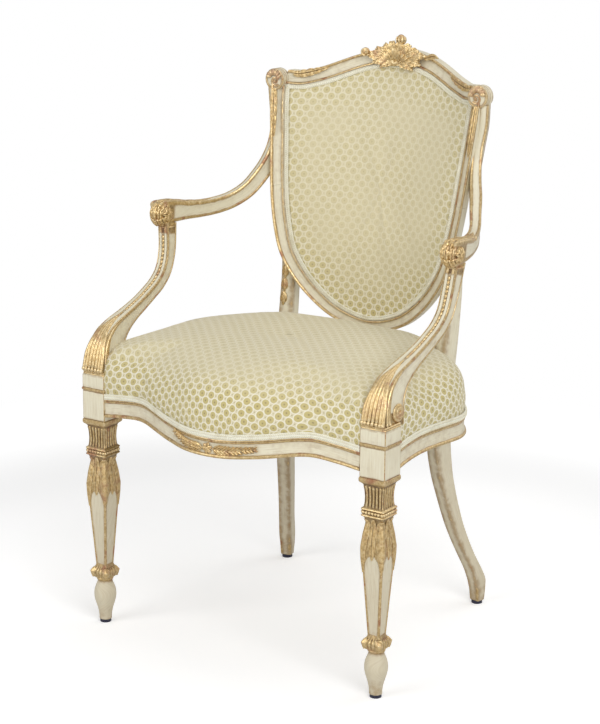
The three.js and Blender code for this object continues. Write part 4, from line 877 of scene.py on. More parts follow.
def repeated(name, places, ahead, up, one, kind):
    """Sets a shell on places, its X along ahead and its Z along up, as one plain mesh."""
    tree = bpy.data.node_groups.get("Units on points") or repeat_tree()
    material = finish(kind)
    ahead = unit(np.broadcast_to(ahead, places.shape))
    up = unit(np.broadcast_to(up, places.shape))
    sideways = unit(np.cross(up, ahead))
    ahead = np.cross(sideways, up)
    frames = zip(ahead.tolist(), sideways.tolist(), up.tolist())
    turns = [Matrix(axes).transposed().to_euler() for axes in frames]
    points = places * MM
    points[:, 1] += AXIS_Y * MM
    mesh = bpy.data.meshes.new(name)
    mesh.from_pydata(points.tolist(), [], [])
    turn = mesh.attributes.new("turn", "FLOAT_VECTOR", "POINT")
    turn.data.foreach_set("vector", np.array(turns, np.float32).ravel())
    piece = linked(name, mesh)
    one_mesh = bpy.data.meshes.new(name + "_unit")
    one_mesh.from_pydata((one.points * MM).tolist(), [], one.faces)
    one_mesh.attributes.new("gild", "FLOAT", "POINT").data.foreach_set("value", one.gild.astype(np.float32))
    one_mesh.shade_smooth()
    one_object = linked(name + "_unit", one_mesh)
    modifier = piece.modifiers.new("Units", "NODES")
    modifier.node_group = tree
    inputs = [s for s in tree.interface.items_tree if s.item_type == "SOCKET" and s.in_out == "INPUT"]
    by_name = {s.name: s.identifier for s in inputs}
    modifier[by_name["Unit"]] = one_object
    modifier[by_name["Material"]] = material
    bpy.context.view_layer.update()
    made = bpy.data.meshes.new_from_object(piece.evaluated_get(bpy.context.evaluated_depsgraph_get()))
    piece.modifiers.remove(modifier)
    piece.data = made
    made.name = name
    bpy.data.objects.remove(one_object)
    if not made.materials:
        made.materials.append(material)
    made.shade_smooth()
    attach(piece, "root")
    return piece


# The chair's own lines

def front_face(x):
    """Depth of the front rail's face."""
    return FRONT_END_Y - FRONT_BOW * smooth(FRONT_BOW_SHARES, min(abs(x) / FRONT_END_X, 1))


SEAT_MIDDLE = (REAR_FACE + front_face(0)) / 2


def front_low(x):
    """Height of the front rail's low edge."""
    return FRONT_LOW + FRONT_ARCH * smooth(FRONT_ARCH_SHARES, min(abs(x) / FRONT_END_X, 1))


def side_line(count):
    """Right side rail's face in plan, with its low edge as height."""
    points = [
        (
            REAR_X + sx * (SEAT_HALF - REAR_X), BLOCK_HALF + sy * (REAR_Y - BLOCK_HALF),
            SIDE_LOW + SIDE_ARCH * sa,
        )
        for sx, sy, sa in zip(SIDE_X_SHARES, SIDE_Y_SHARES, SIDE_ARCH_SHARES)
    ]
    return spline(points, np.linspace(0, 1, count))


def back_face(x, z):
    """Depth of the shield's front face."""
    return BACK_BASE + BACK_LEAN * (z - SHIELD_LOW) - BACK_HOLLOW * (x / SHIELD_HALF) ** 2


def shield_lines():
    """Inner edge of the shield, from the bottom middle to the shoulder and on to the crest's middle."""
    lower = [(x * SHIELD_HALF, 0, SHIELD_LOW + z * (SHOULDER - SHIELD_LOW)) for x, z in LOWER_SHARES]
    crest = [(x * SHIELD_HALF, 0, SHOULDER + z * CREST_RISE) for x, z in CREST_SHARES]
    return spline(lower, np.linspace(0, 1, 400)), spline(crest, np.linspace(0, 1, 300))


LOWER_LINE, CREST_LINE = shield_lines()


def plan_outward(line, closed=False):
    """Outward directions of a line in plan."""
    t = tangents(line * np.array([1, 1, 0]), closed)
    return np.stack([t[:, 1], -t[:, 0], np.zeros(len(t))], 1)


def outward(line, closed=False):
    """Outward directions of a line in the plane of the back."""
    t = tangents(line, closed)
    return unit(np.stack([t[:, 2], np.zeros(len(t)), -t[:, 0]], 1))


def frame_rings(line, section):
    """Rings of a shield frame: out from the inner edge, back from the face."""
    normals = outward(line)
    rings = []
    for p, n in zip(line, normals):
        x = p[0] + n[0] * section[:, 0]
        z = p[2] + n[2] * section[:, 0]
        rings.append(np.stack([x, back_face(x, z) + section[:, 1], z], 1))
    return np.array(rings)


def frame_section(band):
    """Moulded section of the shield: gilt fillet, cream channel, gilt outer edge."""
    b = band
    return np.array([
        # The inner fillet's points at 0.36 come out brown: partly the fillet's own glaze, partly painted
        # shadow in the gap beside the braid.
        (-12, 9, 0), (-0.3, 9, 0), (-0.2, 1.4, 0.36), (0.5, 0.3, 0.36), (1.5, 0, 0.62), (2.8, 0.2, 1),
        (3.5, 1.2, 0.9), (3.8, 2.2, 0.5), (4.8, 3, 0.1), (7, 3.5, 0), (b / 2, 3.7, 0), (b - 7.4, 3.4, 0),
        (b - 5.2, 2.8, 0.1), (b - 4.4, 2, 0.5), (b - 4.1, 1, 0.9), (b - 3.2, 0.2, 1), (b - 1.9, 0, 1),
        (b - 0.8, 0.4, 1), (b - 0.1, 1.5, 1), (b, 3, 0.8), (b - 0.1, 5, 0.2), (b, 9, 0), (b, 18, 0),
        (b - 0.4, 22.6, 0.15), (b - 1.6, 24, 0.15), (6.6, 24, 0), (6, 23.4, 0), (6, 21, 0), (-12, 21, 0),
    ], float)


def mirror_line(line):
    """The same line on the other side."""
    return (line * np.array([-1, 1, 1]))[::-1]


def rail_section(low):
    """Show-wood band over its gilt bead, set back above for the upholstery: out from the face, up."""
    return [
        (-RAIL_THICK, low, 0), (-1, low, 0.2), (1.4, low + 0.2, 0.9), (2.1, low + 1.1, 1),
        (2.3, low + 2.4, 1), (2.0, low + 3.9, 1), (1.0, low + 5.0, 0.9), (0.1, low + 5.6, 0.5),
        (-0.5, low + 7, 0.1), (-1.3, low + 11, 0), (-1.6, low + 17, 0), (-1.3, low + 22.6, 0.1),
        (-0.7, low + 24.2, 0.6), (0.2, low + 25.2, 0.95), (0.3, low + 26.4, 0.9), (-0.3, low + 27.2, 0.6),
        (0.5, low + 28, 1), (0.4, low + 29, 1), (0, low + BAND, 0.5), (-REBATE, low + BAND, 0),
        (-REBATE, RAIL_TOP, 0), (-RAIL_THICK, RAIL_TOP, 0),
    ]


def rail(line):
    """Rail along a line in plan that carries the low edge as height."""
    rings, gild = [], []
    for p, o in zip(line, unit(plan_outward(line))):
        section = np.array(rail_section(p[2]))
        rings.append(np.stack([p[0] + o[0] * section[:, 0], p[1] + o[1] * section[:, 0], section[:, 1]], 1))
        gild.append(section[:, 2])
    return loft(rings, np.array(gild))


def square_ring(middle, z, half, corner, per_side=31, reeds=0, reed_depth=0.0, panel=None):
    """Ring of a square shaft, its sides reeded or sunk; gild tells the corners from the panels."""
    per_corner = 3
    points, gild = [], []
    for k in range(4):
        turn = k * math.pi / 2
        c, s = math.cos(turn), math.sin(turn)
        reach = half - corner
        for i in range(per_side):
            x = -reach + 2 * reach * i / (per_side - 1)
            y = -half
            g = 0.0
            if reeds:
                y -= reed_depth * (abs(math.sin(math.pi * reeds * (x + reach) / (2 * reach))) - 0.5)
            if panel is not None:
                wide, sunk = panel
                inside = 1 - min(max((abs(x) - wide + 1) / 1.6, 0), 1) if wide > 0 else 0
                y += sunk * inside
                g = 1 - inside
            points.append((x * c - y * s, x * s + y * c))
            gild.append(g)
        for i in range(1, per_corner + 1):
            a = -math.pi / 2 + (math.pi / 2) * i / (per_corner + 1)
            x = reach + corner * math.cos(a)
            y = -reach + corner * math.sin(a)
            points.append((x * c - y * s, x * s + y * c))
            gild.append(1.0)
    x, y = np.array(points).T
    return np.column_stack([middle[0] + x, middle[1] + y, np.full(len(x), z)]), np.array(gild)


def shaft_half(z):
    """Half width of the front leg's shaft below the bead ring."""
    heights, halves = zip(*SHAFT_ROWS)
    return float(np.interp(z, heights, halves))


def leg_faces():
    """Outward and sideways directions of the four faces of a square leg."""
    turns = [k * math.pi / 2 for k in range(4)]
    return [
        (np.array([math.cos(a), math.sin(a), 0]), np.array([-math.sin(a), math.cos(a), 0])) for a in turns
    ]


def whole_section(half, last):
    """Closed section from its right half and the point under its middle."""
    return np.array([*half, last, *[(-x, y, g) for x, y, g in half[:0:-1]]])


# Pieces of the frame

def front_leg_shells():
    """Right front leg: block, abacus, reeded capital, shaft with sunk panels, collar and turned foot."""
    middle = (LEG_X, 0.0)
    rows = []

    def ring(z, half, gild=None, **more):
        points, corners = square_ring(middle, z, half, **more)
        arris = 0.72 * (corners > 0.99) if z > BLOCK_LOW and "panel" not in more else 0
        gilt = corners if gild is None else np.maximum(np.full(len(points), float(gild)), arris)
        rows.append((points, gilt))

    for z, half, gild in BLOCK_ROWS:
        ring(z, half, gild, corner=1.6)
    for z, half, deep in CAPITAL_ROWS:
        ring(z, half, 1, corner=2.2, reeds=5, reed_depth=deep)
    for z, half in BEAD_BED_ROWS:
        ring(z, half, 1, corner=2.4)
    panel_top, arch, panel_low, margin = 236.0, 34, 106, 3.6
    for z in np.linspace(292, 100, 60):
        half = shaft_half(z)
        wide = 0
        if panel_low < z <= panel_top:
            rise = max(z - panel_top + arch, 0) / arch
            wide = (half - margin) * math.sqrt(max(1 - rise ** 2, 0))
        ring(z, half, corner=2.2, panel=(wide, 1.3 if z < 226 else 0.8))
    for z, half, deep in COLLAR_ROWS:
        ring(z, half, 0.85, corner=4, reeds=4, reed_depth=deep)
    leg = loft([points for points, _ in rows], np.array([gild for _, gild in rows]))
    profile = spline(FOOT_ROWS, np.linspace(0, 1, 52))
    return [leg, lathe(profile[:, :2], middle, 48, np.clip(profile[:, 2], 0, 1))]


def corner_place(side_x, side_y, top, low):
    """Leaf's place down one corner of the right front leg."""
    def place(u, x):
        z = top + (low - top) * u
        half = np.vectorize(shaft_half)(z)
        on_side = x > 0
        px = np.where(on_side, half, half + x)
        py = np.where(on_side, half - x, half)
        points = np.stack([LEG_X + side_x * px, side_y * py, z], -1)
        share = np.clip(x / 4, -1, 1)
        nx = np.where(share > 0, 1.0, 1 + share)
        ny = np.where(share < 0, 1.0, 1 - share)
        return points, unit(np.stack([side_x * nx, side_y * ny, np.zeros_like(x)], -1))
    return place


def front_leg_carving():
    """Leaves down the corners of the shaft and on the collar."""
    shells = []
    for side_x in (-1, 1):
        for side_y in (-1, 1):
            shells.append(leaf(corner_place(side_x, side_y, 291, 206), 10.5, 2.6, 5, 40, 17, 0.62))
            shells.append(leaf(corner_place(side_x, side_y, 99, 80.5), 8, 1.8, 2, 14, 11, 0.8))
    middle = np.array([LEG_X, 0, 0])
    for out, side in leg_faces():
        heights = (293, 280, 266, 252, 238, 228)
        line = [middle + out * (shaft_half(z) + 0.3) + np.array([0, 0, z]) for z in heights]
        shells.append(leaf(on_plane(line, side, out), 7, 2.2, 4, 30, 11, 0.8))
    return shells


def bead_ring_places():
    """Places and outward directions of the beads round the right front leg."""
    half, count = 19.4, 7
    middle = np.array([LEG_X, 0, 303.1])
    shares = [(i + 0.5) / count * 2 - 1 for i in range(count)]
    places = [middle + out * half + side * s * half for out, side in leg_faces() for s in shares]
    ups = [out for out, _ in leg_faces() for _ in shares]
    return np.array(places), np.array(ups)


def rear_leg_shell():
    """Right rear leg with its post, a rounded section turned a little outwards."""
    rows = [(
        REAR_X + out * FOOT_SPREAD, REAR_Y + back * FOOT_REACH, max(up * BLOCK_LOW, 5) + 0.3,
        REAR_WIDE * wide, REAR_DEEP * deep,
    ) for up, out, back, wide, deep in REAR_LEG_SHARES]
    at = np.linspace(0, len(rows) - 1, 110)
    fine = np.stack([np.interp(at, range(len(rows)), column) for column in zip(*rows)], 1)
    kernel = np.array([1, 2, 3, 2, 1]) / 9
    for k in range(fine.shape[1]):
        padded = np.concatenate([[fine[0, k]] * 2, fine[:, k], [fine[-1, k]] * 2])
        fine[:, k] = np.convolve(padded, kernel, "valid")
    section = fillet([
        (-1, -0.86, 0.35), (-0.84, -1, 0.5), (0, -1, 0.05), (0.84, -1, 0.5), (1, -0.86, 0.35), (1, 0, 0),
        (1, 0.88, 0.2), (0.86, 1, 0.2), (0, 1, 0), (-0.86, 1, 0.2), (-1, 0.88, 0.2), (-1, 0, 0),
    ])
    rings = []
    for x, y, z, wide, deep in fine:
        px, py = section[:, 0] * wide / 2, section[:, 1] * deep / 2
        rings.append(np.stack([
            x + px * math.cos(REAR_TURN) + py * math.sin(REAR_TURN),
            y - px * math.sin(REAR_TURN) + py * math.cos(REAR_TURN),
            np.full(len(px), z),
        ], 1))
    foot = np.clip((60 - fine[:, 2]) / 60, 0, 1)[:, None] * 0.25
    return loft(rings, np.clip(np.broadcast_to(section[:, 2], (len(rings), len(section))) + foot, 0, 1))


def arm_lines():
    """Right arm's centre line with its width, depth, across and up directions."""
    count = 150
    places = np.linspace(0, 1, count)
    points = [(
        SHOULDER_X + sx * (HAND_X - SHOULDER_X) - hug * ARM_HUG,
        HAND_Y + sy * (SHOULDER_Y - HAND_Y),
        ARM_LEVEL + sz * (ARM_START - ARM_LEVEL),
    ) for sx, hug, sy, sz in zip(ARM_X_SHARES, ARM_HUG_SHARES, ARM_Y_SHARES, ARM_Z_SHARES)]
    rows = zip(ARM_WIDE_SHARES, ARM_DEEP_SHARES, ARM_TURNS)
    scale = spline([(w * ARM_WIDE, d * ARM_DEEP, turn) for w, d, turn in rows], places)
    line = spline(points, places)
    ahead = tangents(line)
    turn = np.radians(scale[:, 2])
    across = np.stack([np.cos(turn), np.sin(turn), np.zeros(count)], 1)
    across = unit(across - ahead * np.sum(across * ahead, 1, keepdims=True))
    up = np.cross(ahead, across)
    return line, scale, across, up


def arm_shell():
    """Right arm: flat top between gilt edges, hollow sides, gilt lower edges."""
    wood_rings, gilt_from = 134, 116
    line, scale, across, up = (part[:wood_rings] for part in arm_lines())
    half = [
        (0, 0.98, 0.05), (0.3, 0.97, 0.05), (0.52, 0.93, 0.35), (0.62, 0.97, 0.95), (0.78, 1.0, 1),
        (0.92, 0.95, 1), (1.0, 0.82, 1), (0.99, 0.7, 0.9), (0.93, 0.6, 0.35), (0.86, 0.42, 0.05),
        (0.82, 0.1, 0), (0.8, -0.25, 0), (0.78, -0.5, 0.05), (0.78, -0.62, 0.4), (0.82, -0.7, 0.95),
        (0.84, -0.8, 1), (0.76, -0.92, 1), (0.6, -1.0, 0.9), (0.42, -0.98, 0.4), (0.2, -0.95, 0.1),
    ]
    section = whole_section(half, (0, -0.94, 0.05))
    x = section[:, 0] * scale[:, :1] / 2
    y = section[:, 1] * scale[:, 1:2] / 2
    near_hand = np.clip((np.arange(len(line)) - gilt_from) / 4, 0, 1)
    return loft(rings_round(line, across, up, x, y), np.maximum(section[None, :, 2], near_hand[:, None]))


def support_lines():
    """Right arm support's centre line with its sizes and front directions."""
    count = 140
    places = np.linspace(0, 1, count)
    base = BLOCK_TOP + 0.3
    points = [(
        LEG_X + s * (SUPPORT_X - LEG_X) + 5.5 * max(0, (z - 0.62) / 0.38) ** 2,
        SUPPORT_BASE_Y + s * (SUPPORT_Y - SUPPORT_BASE_Y), base + z * (SUPPORT_TOP - base),
    ) for s, z in zip(SUPPORT_Y_SHARES, SUPPORT_Z_SHARES)]
    rows = zip(SUPPORT_WIDE_SHARES, SUPPORT_DEEP_SHARES, SUPPORT_TILTS)
    scale = spline([(w * SUPPORT_WIDE, d * SUPPORT_DEEP, tilt) for w, d, tilt in rows], places)
    tilt = np.radians(scale[:, 2])
    return spline(points, places), scale, np.stack([np.zeros(count), -np.cos(tilt), np.sin(tilt)], 1)


def support_shell():
    """Right arm support: beaded channel in front, double gilt corners, hollow sides."""
    low_gilt, high_gilt = 459, 636
    rings, gild = [], []
    for p, (wide, deep, _), f in zip(*support_lines()):
        w, d = wide / 2, deep / 2
        half = [
            (0, d - 2.1, 0.3), (2.3, d - 1.9, 0.3), (3, d - 0.2, 0.2), (w * 0.4 + 1.2, d, 0),
            (w - 3.6, d - 0.2, 0.1), (w - 3.2, d - 0.9, 0.6), (w - 2.7, d - 0.2, 1), (w - 2, d, 1),
            (w - 1.3, d - 0.4, 1), (w - 1.1, d - 1.2, 0.6), (w - 0.5, d - 1.3, 1), (w, d - 2.1, 1),
            (w - 0.1, d - 3.2, 1), (w - 0.8, d - 3.8, 0.5), (w - 1.3, d * 0.45, 0), (w - 1.6, 0, 0),
            (w - 1.3, -d * 0.5, 0), (w - 0.9, -d + 3.4, 0.5), (w - 0.1, -d + 2.8, 1), (w, -d + 1.4, 1),
            (w - 0.8, -d + 0.2, 1), (w - 2.2, -d, 0.5),
        ]
        section = whole_section(half, (0, -d, 0))
        rings.append(p + np.outer(section[:, 0], (1, 0, 0)) + np.outer(section[:, 1], f))
        ends = max(np.clip((low_gilt - p[2]) / 4, 0, 1), np.clip((p[2] - high_gilt) / 4, 0, 1))
        gild.append(np.maximum(section[:, 2], 0.9 * ends))
    return loft(rings, np.array(gild))


def at_height(line, z):
    """Number of the first ring of a falling line at or below a height."""
    return int(np.argmax(line[:, 2] <= z))


def support_carving():
    """Right arm support's foot: long leaf strands down to a gilt band, and a round scroll on each cheek."""
    line, scale, front = support_lines()
    low = at_height(line, 444)
    shells = []
    for place, start in (
        (-0.96, 494), (-0.7, 503), (-0.36, 511), (0, 516), (0.36, 511), (0.7, 503), (0.96, 494),
    ):
        points = []
        picks = np.linspace(at_height(line, start), low, 7).astype(int)
        for k, share in zip(picks, np.linspace(0, 1, 7)):
            spread = place * scale[k, 0] / 2 * (0.45 + 0.53 * min(share * 1.5, 1))
            rise = scale[k, 1] / 2 - 0.4 + 1.6 * share + 2.6 * max(share - 0.8, 0) * 5 * 0.6
            points.append(line[k] + front[k] * rise + np.array([spread, 0, 0]))
        shells.append(strand(points, 3.3, front[picks].mean(0), (0.3, 0.85), 10, 34))
        shells.append(ball(points[-1] + np.array([0, -0.6, 0]), (3.1, 2.8, 3.4), 8, 10))
    band = [square_ring((LEG_X, 0.4), z, half, 1.6, 9)[0] for z, half in BASE_BAND_ROWS]
    shells.append(loft(band, 1.0))
    for cheek in (-1, 1):
        for start, high, back in ((504, 0.8, 0.78), (490, 0.8, 0.52)):
            points = []
            picks = np.linspace(at_height(line, start), low, 6).astype(int)
            for k, share in zip(picks, np.linspace(0, 1, 6)):
                out = scale[k, 0] / 2 - 0.8 + 1.5 * share + 1.8 * max(share - 0.7, 0)
                reach = (high + (back - high) * share) * scale[k, 1] / 2
                points.append(line[k] + front[k] * reach + np.array([cheek * out, 0, 0]))
            shells.append(strand(points, 2.9, (cheek, 0, 0), (0.3, 0.85), 10, 30))
            shells.append(ball(points[-1], (2.4, 2.8, 3.1), 8, 10))
        x, y, z = LEG_X + cheek * 18.2, 19.5, 455
        begin = math.radians(100 + 80 * cheek)
        shells.append(ball((x, y, z), (3.2, 14.5, 14.5), 12, 32))
        shells.append(spiral((x, y, z), (0, cheek, 0), (0, 0, 1), 12.6, 1.7, 3.0, begin, 0.2, 90, 3.0))
        shells.append(ball((x + cheek * 3.0, y, z), (2.6, 3.4, 3.4), 10, 14))
    return shells


def hand_rest_carving():
    """Right hand rest: a knob wrapped in leaves, a rosette on each cheek, and a leaf back along the arm."""
    middle = np.array([HAND_X - 2.2, HAND_Y + 5.4, ARM_LEVEL + 1.0])
    size = np.array([14.8, 18.6, 20.2])

    def on_knob(lean, start, end):
        def place(u, x):
            a = np.radians(start + (end - start) * u)
            across = np.clip(lean + x / size[0], -0.96, 0.96)
            shrink = np.sqrt(1 - across**2)
            points = middle + size * np.stack([across, -np.cos(a) * shrink, np.sin(a) * shrink], -1)
            return points, unit((points - middle) / size**2)
        return place

    shells = [ball(middle, size * 0.9, 22, 32)]
    three, four, wide_four = (-0.55, 0, 0.55), (-0.7, -0.24, 0.24, 0.7), (-0.78, -0.26, 0.26, 0.78)
    for start, end, leans in ((-20, -88, four), (38, -34, three), (82, 14, wide_four), (128, 62, three)):
        for lean in leans:
            place = on_knob(lean, start, end)
            tip = place(np.array([0.97]), np.array([0.0]))[0][0]
            shells.append(leaf(place, 4.9, 3.8, 3, 26, 13, 0.6, 2.2, -1.4))
            shells.append(ball(tip, (2.3, 2.3, 2.3), 7, 9))
    for cheek in (-1, 1):
        wheel = middle + np.array([cheek * 12.6, 0, -0.5])
        for turn in range(7):
            a = math.radians(turn * 51.4 + 12)
            points = [
                wheel + np.array([cheek * out, math.cos(a) * r, math.sin(a) * r])
                for out, r in ((2.6, 1.5), (3.4, 5), (2.2, 9.5), (-1.8, 14))
            ]
            shells.append(leaf(on_plane(points, None, (cheek, 0, 0)), 4.2, 2.6, 2, 22, 11, 0.7))
        shells.append(ball(wheel + np.array([cheek * 3.6, 0, 0]), (2.4, 3.0, 3.0), 10, 14))
    shells.append(ball((SUPPORT_X + 5.5, SUPPORT_Y - 2.5, SUPPORT_TOP - 7), (14.4, 13.2, 3.2), 12, 32))
    line, scale, across, up = arm_lines()
    top = line + up * (scale[:, 1:2] / 2 - 0.6)
    run = top[[127, 120, 112, 104, 96, 88]]
    shells.append(leaf(on_plane(run, None, (0, 0, 1)), 9.5, 3.2, 5, 44, 15, 0.62))
    for lean in (-1, 1):
        edge = ((126, 7), (118, 8.4), (108, 7.6), (98, 5), (90, 1.5))
        points = [top[k] + across[k] * lean * w for k, w in edge]
        shells.append(strand(points, 2.1, (0, 0, 1), (0.5, 0.3), 8, 36))
        for k, drop in ((122, 3.4), (114, 3.0), (106, 2.6), (98, 2.2)):
            curl = top[k] + across[k] * lean * 9.6 - up[k] * drop
            begin = math.radians(120)
            shells.append(spiral(curl, (0, lean, 0), (0, 0, 1), 2.9, 1.2, 1.5, begin, 0.25, 22, 1.0))
    return shells


def frame_path(line, start, end, out, proud):
    """Points along a shield line, some way out from its inner edge, on the frame's face."""
    count = 7
    base = even(line, 60)
    normals = outward(base)
    moved = base + normals * out
    path = even(moved, count, min(start, end), max(start, end))
    if start > end:
        path = path[::-1]
    path[:, 1] = back_face(path[:, 0], path[:, 2]) - proud
    return path


def ear_carving():
    """Right ear's spiral, with leaves along the crest rail and down the stile."""
    face = back_face(*EAR) - 1.6
    normal = (0, -1, BACK_LEAN)
    middle = (EAR[0] - 2.0, face, EAR[1] - 3.0)
    crest = frame_path(CREST_LINE, 0.05, 0.34, 18.5, 0.8)
    stile = frame_path(LOWER_LINE, 0.985, 0.82, 13.6, 0.3)
    shells = [
        spiral(middle, (1, 0, 0), (0, 0, 1), 8.6, 1.6, 2.4, math.radians(215), 0.16, 90, -2.6, 0.8),
        ball((middle[0], face - 2.2, middle[2]), (2.6, 2.2, 2.6), 10, 14, 0.6),
        leaf(on_plane(crest, None, normal), 7, 3.2, 5, 44, 15, 0.6),
        leaf(on_plane(stile, None, normal), 6.6, 3.2, 5, 50, 15, 0.6),
    ]
    root = 7
    for turn, reach, kept in (
        (172, 15.5, 0.7), (148, 16.5, 0.5), (126, 17.0, 0.75), (104, 17.2, 0.5), (82, 17.2, 0.7),
        (60, 16.8, 0.55), (40, 15.5, 0.9),
    ):
        points = []
        for share, proud in ((0, 1.0), (0.4, 3.4), (0.75, 2.8), (1, -1.5)):
            a = math.radians(turn - 26 * share)
            r = root + (reach - root) * share
            points.append((EAR[0] + math.cos(a) * r, face - proud, EAR[1] + math.sin(a) * r))
        shells.append(strand(points, 3.1, normal, (0.5, 0.7), 8, 20, kept))
    return shells


def post_point(z, across, forward):
    """Place on the right post at a height, by shares of its half width and half depth."""
    rows = np.array([(max(up * BLOCK_LOW, 5), x, y, w, d) for up, x, y, w, d in REAR_LEG_SHARES])
    out, back, wide, deep = (np.interp(z, rows[:, 0], rows[:, k]) for k in (1, 2, 3, 4))
    px, py = across * wide * REAR_WIDE / 2, -forward * deep * REAR_DEEP / 2
    return np.array([
        REAR_X + out * FOOT_SPREAD + px * math.cos(REAR_TURN) + py * math.sin(REAR_TURN),
        REAR_Y + back * FOOT_REACH - px * math.sin(REAR_TURN) + py * math.cos(REAR_TURN), z,
    ])


def post_carving():
    """Husks down the outer half of the right post's front."""
    shells = []
    across = 0.38
    for top in (612, 589, 566, 543, 520):
        for lean, drop, width in ((0, 25, 4.2), (-0.35, 19, 2.8), (0.35, 19, 2.8)):
            points = [
                post_point(top - drop * s, across + lean * math.sin(2.2 * s), 1.03 + 0.06 * math.sin(3.1 * s))
                for s in (0, 0.35, 0.7, 1)
            ]
            shells.append(leaf(on_plane(points, None, (0, -1, 0)), width, 2.6, 1, 18, 9, 0.8))
        shells.append(ball(post_point(top + 1, across, 1.05), (2.0, 1.8, 2.0), 7, 9))
    return shells


def spray_carving():
    """Rosette near the middle of the front rail, with a feathered leaf to each side."""
    normal = (0, -1, 0)
    middle_x, middle_z = 6.0, 375.0

    def on_rail(x, z, proud):
        return np.array([x, front_face(x) + 1.2 - proud, z])

    shells = [ball(on_rail(middle_x, middle_z, 2.4), (3.2, 2.6, 3.2), 9, 12)]
    for k in range(6):
        a = k * math.pi / 3 + 0.3
        points = [
            on_rail(middle_x + math.cos(a) * r, middle_z + math.sin(a) * r, proud)
            for r, proud in ((2, 1.2), (5, 2.4), (9.2, 1.0))
        ]
        shells.append(leaf(on_plane(points, None, normal), 3.9, 2.0, 1, 14, 9, 0.8))
    last = 39
    for end_x, end_z, bend in ((-68, 388.5, 4.5), (86, 381.5, 2.0)):
        knots = []
        for s in (0.08, 0.3, 0.55, 0.8, 1):
            height = middle_z + (end_z - middle_z) * s**1.4 - bend * math.sin(math.pi * s)
            knots.append(on_rail(middle_x + (end_x - middle_x) * s, height, 0.8))
        stem = spline(knots, np.linspace(0, 1, last + 1))
        shells.append(strand(stem[[0, 8, 18, 28, last]], 1.3, normal, (0.7, 0.3), 8, 40))
        ahead = tangents(stem)
        for k in np.linspace(3, 36, 11).astype(int):
            long = 15 * (1 - 0.6 * (k / last) ** 1.5)
            wide = 3.3 * (1 - 0.45 * k / last)
            for turn in (-1, 1):
                side = np.array([-ahead[k, 2], 0, ahead[k, 0]]) * turn
                way = unit(ahead[k] * 0.84 + side * 0.54)
                points = [
                    stem[k] + way * long * s + np.array([0, -proud, 0])
                    for s, proud in ((0, 0.2), (0.4, 1.1), (0.75, 1.2), (1, 0.3))
                ]
                shells.append(leaf(on_plane(points, None, normal), wide, 2.5, 1, 14, 9, 0.75, 0.6))
    return shells


def cresting_carving():
    """Fan of leaves with a bud, a scroll, an end leaf and a small shell below, on the crest rail's middle."""
    normal = np.array([0, -1.0, BACK_LEAN])
    base_x, base_z = -2.0, 921.0
    shells = []

    def on_crest(x, z, rise):
        return np.array([x, back_face(x, min(z, 945)) - 3 - rise, z])

    rows = (
        (-53, 933, 9, 7), (-42, 921, 8, 5), (-38, 943, 8.5, 9), (-22, 951, 8.5, 11), (-6, 957, 8.5, 12),
        (13, 957, 8.5, 12), (28, 952, 8.5, 11), (43, 945, 9, 9), (58, 937, 9, 7), (49, 922, 8.5, 6),
        (33, 913, 7, 4), (-28, 914, 6.5, 3),
    )
    for tip_x, tip_z, width, rise in rows:
        points = []
        for share, high, curl in (
            (0.06, 0.4, 0), (0.35, 0.85, 1.5), (0.65, 1, 1.5), (0.88, 0.95, 0), (1, 0.6, -2.5),
        ):
            x = base_x + (tip_x - base_x) * share
            points.append(on_crest(x, base_z + (tip_z - base_z) * share + curl, rise * high))
        shells.append(leaf(on_plane(points, None, normal), width, 3.8, 4, 44, 19, 0.74, 4, 2.2))
        shells.append(strand([p + normal * 2.2 for p in points], 1.5, normal, (0.4, 0.5), 8, 30))
        shells.append(ball(points[-1] + (0, -1.5, 0), (2.8, 3, 2.6), 8, 10))
    bud = on_crest(9, 961, 8)
    for k in range(8):
        a = math.radians(k * 45)
        points = [
            bud + np.array([math.cos(a) * r, math.sin(a) * r * 0.9, h])
            for r, h in ((3.0, -10), (6.6, -6.5), (8.2, -1.5), (7.0, 3.5))
        ]
        shells.append(strand(points, 2.3, lambda p: unit(p - bud), (0.5, 0.6), 8, 22))
    shells.append(ball(bud, (7.2, 6.6, 7.2), 16, 20, 0.75))
    shells.append(ball(bud + (0, 0, 2.6), (5.9, 5.4, 4.6), 12, 18, 0.1))
    knob = on_crest(-57, 936, 7)
    begin = math.radians(250)
    shells.append(ball(knob, (7.2, 6.5, 7.0), 16, 20, 0.8))
    shells.append(spiral(knob + (0, -5.2, 0), (-1, 0, 0), (0, 0, 1), 6.4, 1.3, 2.0, begin, 0.25, 60, 1.5))
    end_leaf = [on_crest(x, z, 3) for x, z in ((58, 930), (68, 934), (78, 936), (89, 934))]
    shells.append(leaf(on_plane(end_leaf, None, normal), 5, 2.6, 2, 26, 11, 0.8))
    shell_depth = back_face(0, base_z) - 6
    for k in range(7):
        a = math.radians(180 + 12 + k * 26)
        points = [
            (base_x + math.cos(a) * r, shell_depth - h, 924 + math.sin(a) * r * 0.9)
            for r, h in ((1.5, 2), (5.5, 4), (10.5, 1.5))
        ]
        shells.append(strand(points, 2.1, normal, (0.5, 0.9), 8, 18))
    return shells


def seat_edge(part):
    """Line along the middle of one of the seat's braids, front, side or rear, with its outward directions."""
    front_half, rear_half = FRONT_END_X - 0.4, 148.5
    side_start, side_end, rise = 23.2, 359, 5.05
    if part == "front":
        line = np.array([(x, front_face(x), front_low(x)) for x in np.linspace(-front_half, front_half, 160)])
    elif part == "rear":
        line = np.array([(x, REAR_FACE, REAR_LOW) for x in np.linspace(rear_half, -rear_half, 60)])
    else:
        line = side_line(200)
        line = line[(line[:, 1] > side_start) & (line[:, 1] < side_end)]
    line[:, 2] += BAND + rise
    return line, plan_outward(line)


